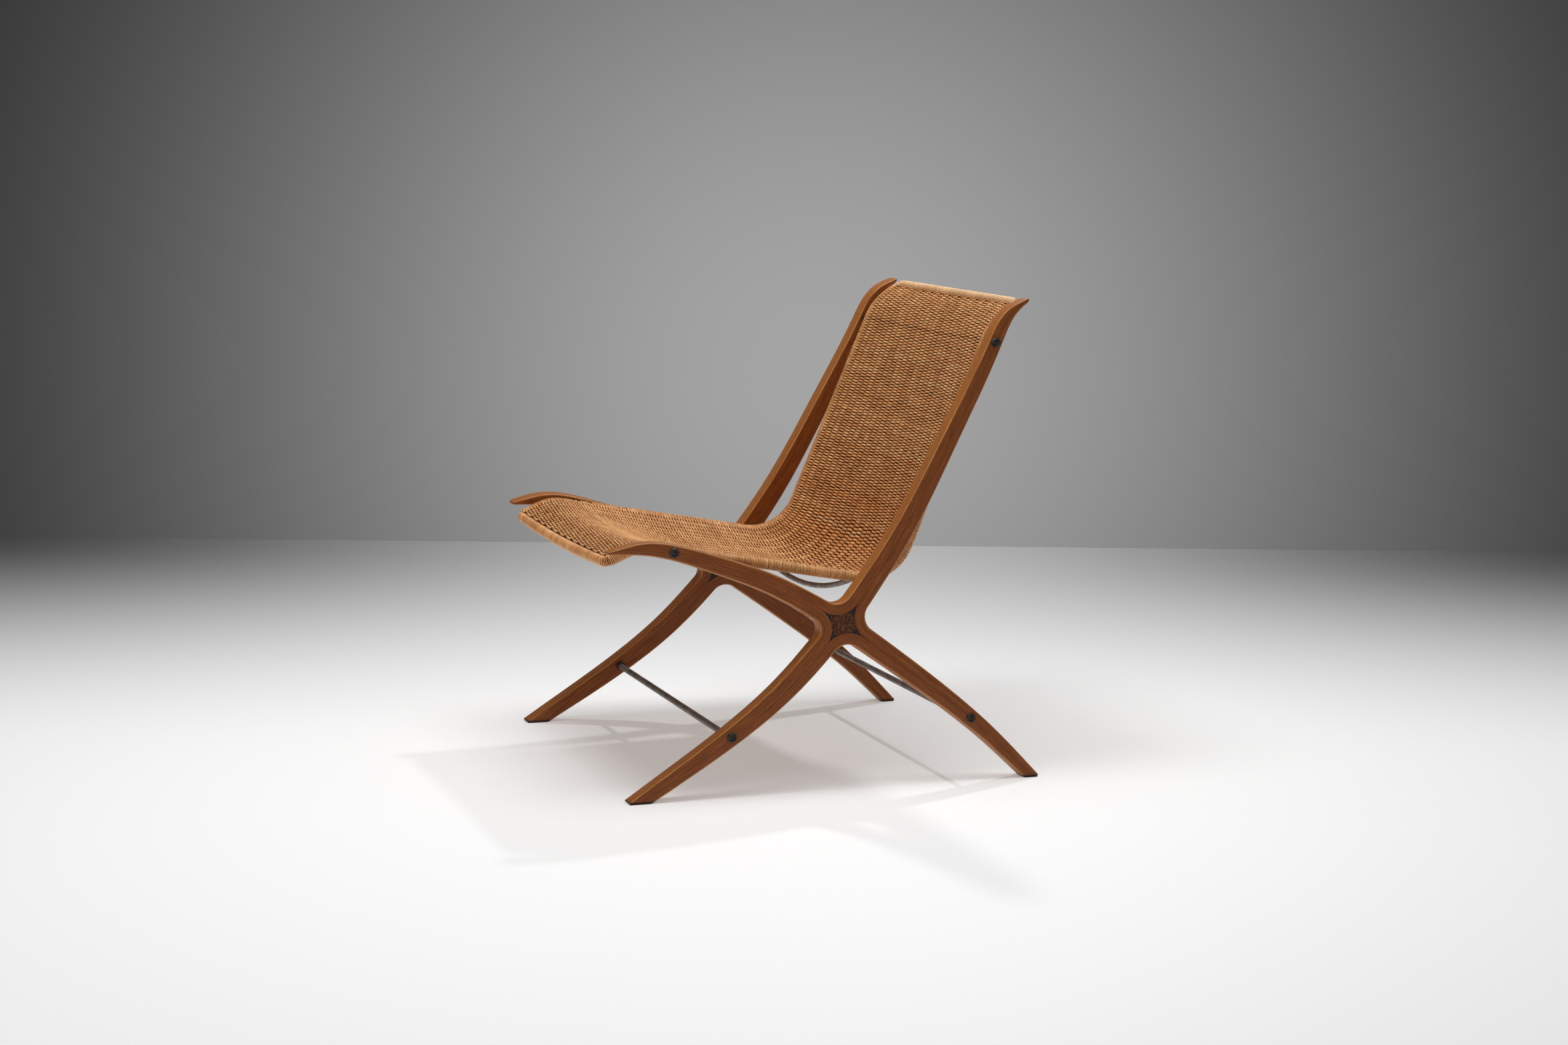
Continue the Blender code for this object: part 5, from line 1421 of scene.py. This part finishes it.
def turn_of_cane(radius, width, thickness):
    """One turn of a wound strand: a ring with a flat inside and a rounded outside."""
    bm = bmesh.new()
    bare = bm.verts.layers.float.new("bare")
    # Shares of the width and of the thickness, and how much the cane shows and is lit there, from -1 to 1;
    # the sides between turns are painted dark, partly as stain and partly as painted shade
    section = [
        (-0.5, -0.5, -1.0), (0.5, -0.5, -1.0), (0.5, 0.1, -1.0),
        (0.32, 0.42, 0.3), (0.0, 0.5, 1.0), (-0.32, 0.42, 0.3), (-0.5, 0.1, -1.0)]
    rings = []
    for k in range(WOUND_SIDES):
        angle = 2 * math.pi * k / WOUND_SIDES
        ring = []
        for along, out, exposure in section:
            size = radius + out * thickness
            vert = bm.verts.new((size * math.cos(angle), size * math.sin(angle), along * width))
            vert[bare] = exposure
            ring.append(vert)
        rings.append(ring)
    skin(bm, rings + rings[:1])
    face_outwards(bm)
    return object_of("turn", bm, keep_sharp=False)


def path_mesh(points, girth):
    """Open polyline with a girth for the turns along it."""
    mesh = bpy.data.meshes.new("rail_path")
    mesh.from_pydata(points, [(i, i + 1) for i in range(len(points) - 1)], [])
    values = np.broadcast_to(girth, len(points)).astype(np.float32)
    mesh.attributes.new("girth", "FLOAT", "POINT").data.foreach_set("value", values)
    return mesh


def cross_rail_path(end, back, sag):
    """Middle of the front or top rail, with its two round corners and its sag."""
    leg = CORNER_RADIUS + CORNER_STRAIGHT
    left = side_place(LEFT, RAIL_INSET, *end)
    left_leg = side_place(LEFT, RAIL_INSET, *(end + back * leg))
    mirror = np.array([-1.0, 1.0, 1.0])
    path = rounded_path([left_leg, left, left * mirror, left_leg * mirror], [CORNER_RADIUS] * 2)
    path = resample(path, CURVE_SAMPLES)
    path[:, 2] -= sag * np.clip(1.0 - (path[:, 0] / left[0]) ** 2, 0.0, 1.0)
    return path


class CHAIR_OT_cane_edges(Operator):
    """Cane wound round the side, front and top rails"""
    bl_idname = "chair.cane_edges"
    bl_label = "Cane edges"

    def execute(self, context):
        sizes = context.scene.chair_cane
        finishes = context.scene.chair_finishes
        shell = CaneShell(make_arms())
        tree = winding_tree()
        cane = peeled_cane("wound_cane", finishes, finishes.cane_patina, patina_share=0.15)
        bindings = {
            "front": peeled_cane("front_cane", finishes, finishes.cane, patina_share=0.5),
            "top": peeled_cane("top_cane", finishes, finishes.binding, patina_share=0.3)}
        middle = RAIL_RADIUS + sizes.wind_thickness / 2
        turn = turn_of_cane(middle, sizes.wind_pitch, sizes.wind_thickness)
        values = {
            "Pitch": sizes.wind_pitch, "Turn": turn, "Tilt": EDGE_TILT, "Looseness": EDGE_LOOSENESS,
            "Run": 1.0, "Seed": SEED, "Material": cane}
        leg = CORNER_RADIUS + CORNER_STRAIGHT
        for side, side_name in SIDE_NAMES.items():
            points = shell.rail(side, np.linspace(leg, shell.length - leg, CURVE_SAMPLES))
            piece = grow(f"{side_name}_edge_winding", path_mesh(points, 1.0), tree, values)
            dress(piece, "cane", f"{side_name}_edge_wrap")
        bpy.data.objects.remove(turn)
        ends = {
            "front": (shell.front, shell.front_back, FRONT_SAG, FRONT_BINDING_THICKNESS),
            "top": (shell.top, shell.top_back, 0.0, TOP_BINDING_THICKNESS)}
        for label, (end, back, sag, thickness) in ends.items():
            points = cross_rail_path(end, back, sag)
            reach = lengths_along(points)
            from_end = np.minimum(reach, reach[-1] - reach)
            swell = WRAP_THICKNESS + (thickness - WRAP_THICKNESS) * smoothstep(from_end / (2 * CORNER_RADIUS))
            middle = RAIL_RADIUS + thickness / 2
            girth = (RAIL_RADIUS + swell) / (RAIL_RADIUS + thickness)
            turn = turn_of_cane(middle, sizes.wind_pitch, thickness)
            values.update({
                "Turn": turn, "Material": bindings[label], "Looseness": BINDING_LOOSENESS,
                "Tilt": BINDING_TILT, "Run": BINDING_RUN})
            piece = grow(f"{label}_winding", path_mesh(points, girth), tree, values)
            bpy.data.objects.remove(turn)
            dress(piece, "cane", f"{label}_binding")
        return {"FINISHED"}


class CHAIR_OT_stage(Operator):
    """Pale floor, grey wall, soft lights and the photograph's camera"""
    bl_idname = "chair.stage"
    bl_label = "Stage"

    def execute(self, context):
        scene = context.scene
        scene.view_settings.view_transform = "Standard"
        add_camera(scene)
        add_lights(scene)
        ahead = view_direction()
        right = ahead.cross(Vector((0.0, 0.0, 1.0)))
        foot = Vector((CAMERA_TARGET[0], CAMERA_TARGET[1], 0.0)) + ahead * WALL_DISTANCE
        add_floor(foot, right)
        add_wall(foot, right)
        return {"FINISHED"}


def add_camera(scene):
    camera = bpy.data.cameras.new("camera")
    camera.sensor_width = SENSOR_WIDTH
    camera.lens = FOCAL_PIXELS / PHOTO_WIDTH * SENSOR_WIDTH
    obj = bpy.data.objects.new("camera", camera)
    scene.collection.objects.link(obj)
    place = Vector(CAMERA_PLACE)
    view = (Vector(CAMERA_TARGET) - place).normalized()
    right = view.cross(Vector((0.0, 0.0, 1.0))).normalized()
    up = right.cross(view)
    level = Matrix((right, up, -view)).transposed()
    turn = level @ Matrix.Rotation(CAMERA_ROLL, 3, "Z")
    obj.matrix_world = Matrix.Translation(place) @ turn.to_4x4()
    scene.camera = obj


def add_lights(scene):
    world = bpy.data.worlds.new("studio")
    world.use_nodes = True
    tree = world.node_tree
    tree.nodes.clear()
    sky = add(tree, "ShaderNodeBackground", {"Color": linear("#ffffff"), "Strength": SKY_STRENGTH}).outputs[0]
    add(tree, "ShaderNodeOutputWorld", {0: sky})
    scene.world = world
    for name, (place, target, size, power) in LAMPS.items():
        lamp = bpy.data.lights.new(name, "AREA")
        lamp.shape = "DISK"
        lamp.size = size
        lamp.energy = power
        obj = bpy.data.objects.new(name, lamp)
        scene.collection.objects.link(obj)
        aim = Vector(target) - Vector(place)
        obj.location = place
        obj.rotation_euler = aim.to_track_quat("-Z", "Y").to_euler()


def view_direction():
    """Level direction in which the camera looks."""
    view = Vector(CAMERA_TARGET) - Vector(CAMERA_PLACE)
    return Vector((view.x, view.y, 0.0)).normalized()


def add_floor(foot, right):
    """Floor under the chair, pale at its feet and dim towards the wall, as a painted pool of light."""
    bm = bmesh.new()
    bmesh.ops.create_circle(bm, cap_ends=True, segments=FLOOR_SIDES, radius=FLOOR_RADIUS)
    return object_of("floor", bm, floor_painted_light(foot, right))


def add_wall(foot, right):
    """Wall behind the chair, square to the camera's level direction."""
    bm = bmesh.new()
    corners = [foot - right * FLOOR_RADIUS, foot + right * FLOOR_RADIUS]
    corners += [corner + Vector((0.0, 0.0, WALL_HEIGHT)) for corner in corners[::-1]]
    bm.faces.new([bm.verts.new(corner) for corner in corners])
    wall = object_of("wall", bm, wall_painted_light(foot, right))
    wall.visible_shadow = False
    return wall


def light_pool(tree, place, middle):
    """Share of the light pool at a place, full in its middle."""
    offset = add(tree, "ShaderNodeVectorMath", {0: place, 1: tuple(middle)}, operation="SUBTRACT").outputs[0]
    far = add(tree, "ShaderNodeVectorMath", {0: offset}, operation="LENGTH").outputs["Value"]
    share = add(tree, "ShaderNodeMath", {0: far, 1: WALL_POOL_RADIUS}, operation="DIVIDE").outputs[0]
    square = add(tree, "ShaderNodeMath", {0: share, 1: share}, operation="MULTIPLY").outputs[0]
    return add(tree, "ShaderNodeMath", {0: math.exp(-0.5), 1: square}, operation="POWER").outputs[0]


def floor_painted_light(foot, right):
    """Matt floor with a painted pool of light: pale at its middle, greying off to the wall outside it as
    painted shade, and glowing a little, which is painted light that lifts its shadows.
    """
    material = new_material("floor_painted_light")
    tree = material.node_tree
    place = add(tree, "ShaderNodeTexCoord").outputs["Object"]
    # Painted pool of light: the floor is pale across its middle and dusky at its sides.
    sideways = add(tree, "ShaderNodeVectorMath", {
        0: place, 1: tuple(right)}, operation="DOT_PRODUCT").outputs["Value"]
    across = add(tree, "ShaderNodeCombineXYZ", {0: sideways}).outputs[0]
    fall = light_pool(tree, across, Vector((foot.dot(right) + WALL_POOL_SHIFT, 0.0, 0.0)))
    dusk = add(tree, "ShaderNodeMix", {
        0: fall, 6: linear(FLOOR_FAR[0]), 7: linear(FLOOR_FAR[1])}, data_type="RGBA").outputs[2]
    # Painted shade: the floor darkens towards the wall.
    depth = add(tree, "ShaderNodeVectorMath", {
        0: place, 1: tuple(view_direction())}, operation="DOT_PRODUCT").outputs["Value"]
    dim = add(tree, "ShaderNodeMapRange", {
        0: depth, 1: FLOOR_DIM_START, 2: WALL_DISTANCE}, interpolation_type="SMOOTHSTEP").outputs[0]
    body = add(tree, "ShaderNodeMix", {0: dim, 6: linear(FLOOR_PALE), 7: dusk}, data_type="RGBA").outputs[2]
    # The emission is painted light that lifts the floor and its shadows.
    shader = add(tree, "ShaderNodeBsdfPrincipled", {
        "Base Color": body, "Roughness": 0.6, "Emission Color": body, "Emission Strength": FLOOR_GLOW})
    add(tree, "ShaderNodeOutputMaterial", {0: shader.outputs[0]})
    return material


def wall_painted_light(foot, right):
    """Grey backdrop that glows, with a painted pool of light behind the chair, and nothing to see from its
    back.
    """
    material = new_material("wall_painted_light")
    tree = material.node_tree
    place = add(tree, "ShaderNodeTexCoord").outputs["Object"]
    # Painted pool of light on the glowing wall.
    fall = light_pool(tree, place, foot + right * WALL_POOL_SHIFT + Vector((0.0, 0.0, WALL_POOL_HEIGHT)))
    body = add(tree, "ShaderNodeMix", {
        0: fall, 6: linear(WALL_GREYS[0]), 7: linear(WALL_GREYS[1])}, data_type="RGBA").outputs[2]
    glow = add(tree, "ShaderNodeEmission", {"Color": body}).outputs[0]
    behind = add(tree, "ShaderNodeNewGeometry").outputs["Backfacing"]
    clear = add(tree, "ShaderNodeBsdfTransparent").outputs[0]
    shown = add(tree, "ShaderNodeMixShader", {0: behind, 1: glow, 2: clear}).outputs[0]
    add(tree, "ShaderNodeOutputMaterial", {0: shown})
    return material


class CHAIR_PT_pieces(Panel):
    """Lists the chair's pieces and sizes"""
    bl_idname = "CHAIR_PT_pieces"
    bl_label = "Lounge chair"
    bl_space_type = "VIEW_3D"
    bl_region_type = "UI"
    bl_category = "Chair"

    def draw(self, context):
        for operator in OPERATORS:
            self.layout.operator(operator.bl_idname)
        for group in (context.scene.chair_wood, context.scene.chair_cane, context.scene.chair_finishes):
            for key in group.__annotations__:
                self.layout.prop(group, key)


OPERATORS = (
    CHAIR_OT_side_frames, CHAIR_OT_fastenings, CHAIR_OT_steel_rods, CHAIR_OT_woven_cane, CHAIR_OT_cane_edges,
    CHAIR_OT_stage)
CLASSES = (ChairWoodSizes, ChairCaneSizes, ChairFinishes, *OPERATORS, CHAIR_PT_pieces)


def register():
    for cls in CLASSES:
        bpy.utils.register_class(cls)
    bpy.types.Scene.chair_wood = PointerProperty(type=ChairWoodSizes)
    bpy.types.Scene.chair_cane = PointerProperty(type=ChairCaneSizes)
    bpy.types.Scene.chair_finishes = PointerProperty(type=ChairFinishes)


def unregister():
    del bpy.types.Scene.chair_finishes
    del bpy.types.Scene.chair_cane
    del bpy.types.Scene.chair_wood
    for cls in reversed(CLASSES):
        bpy.utils.unregister_class(cls)


def main():
    register()
    bpy.ops.chair.side_frames()
    bpy.ops.chair.fastenings()
    bpy.ops.chair.steel_rods()
    bpy.ops.chair.woven_cane()
    bpy.ops.chair.cane_edges()
    bpy.ops.chair.stage()


if __name__ == "__main__":
    main()
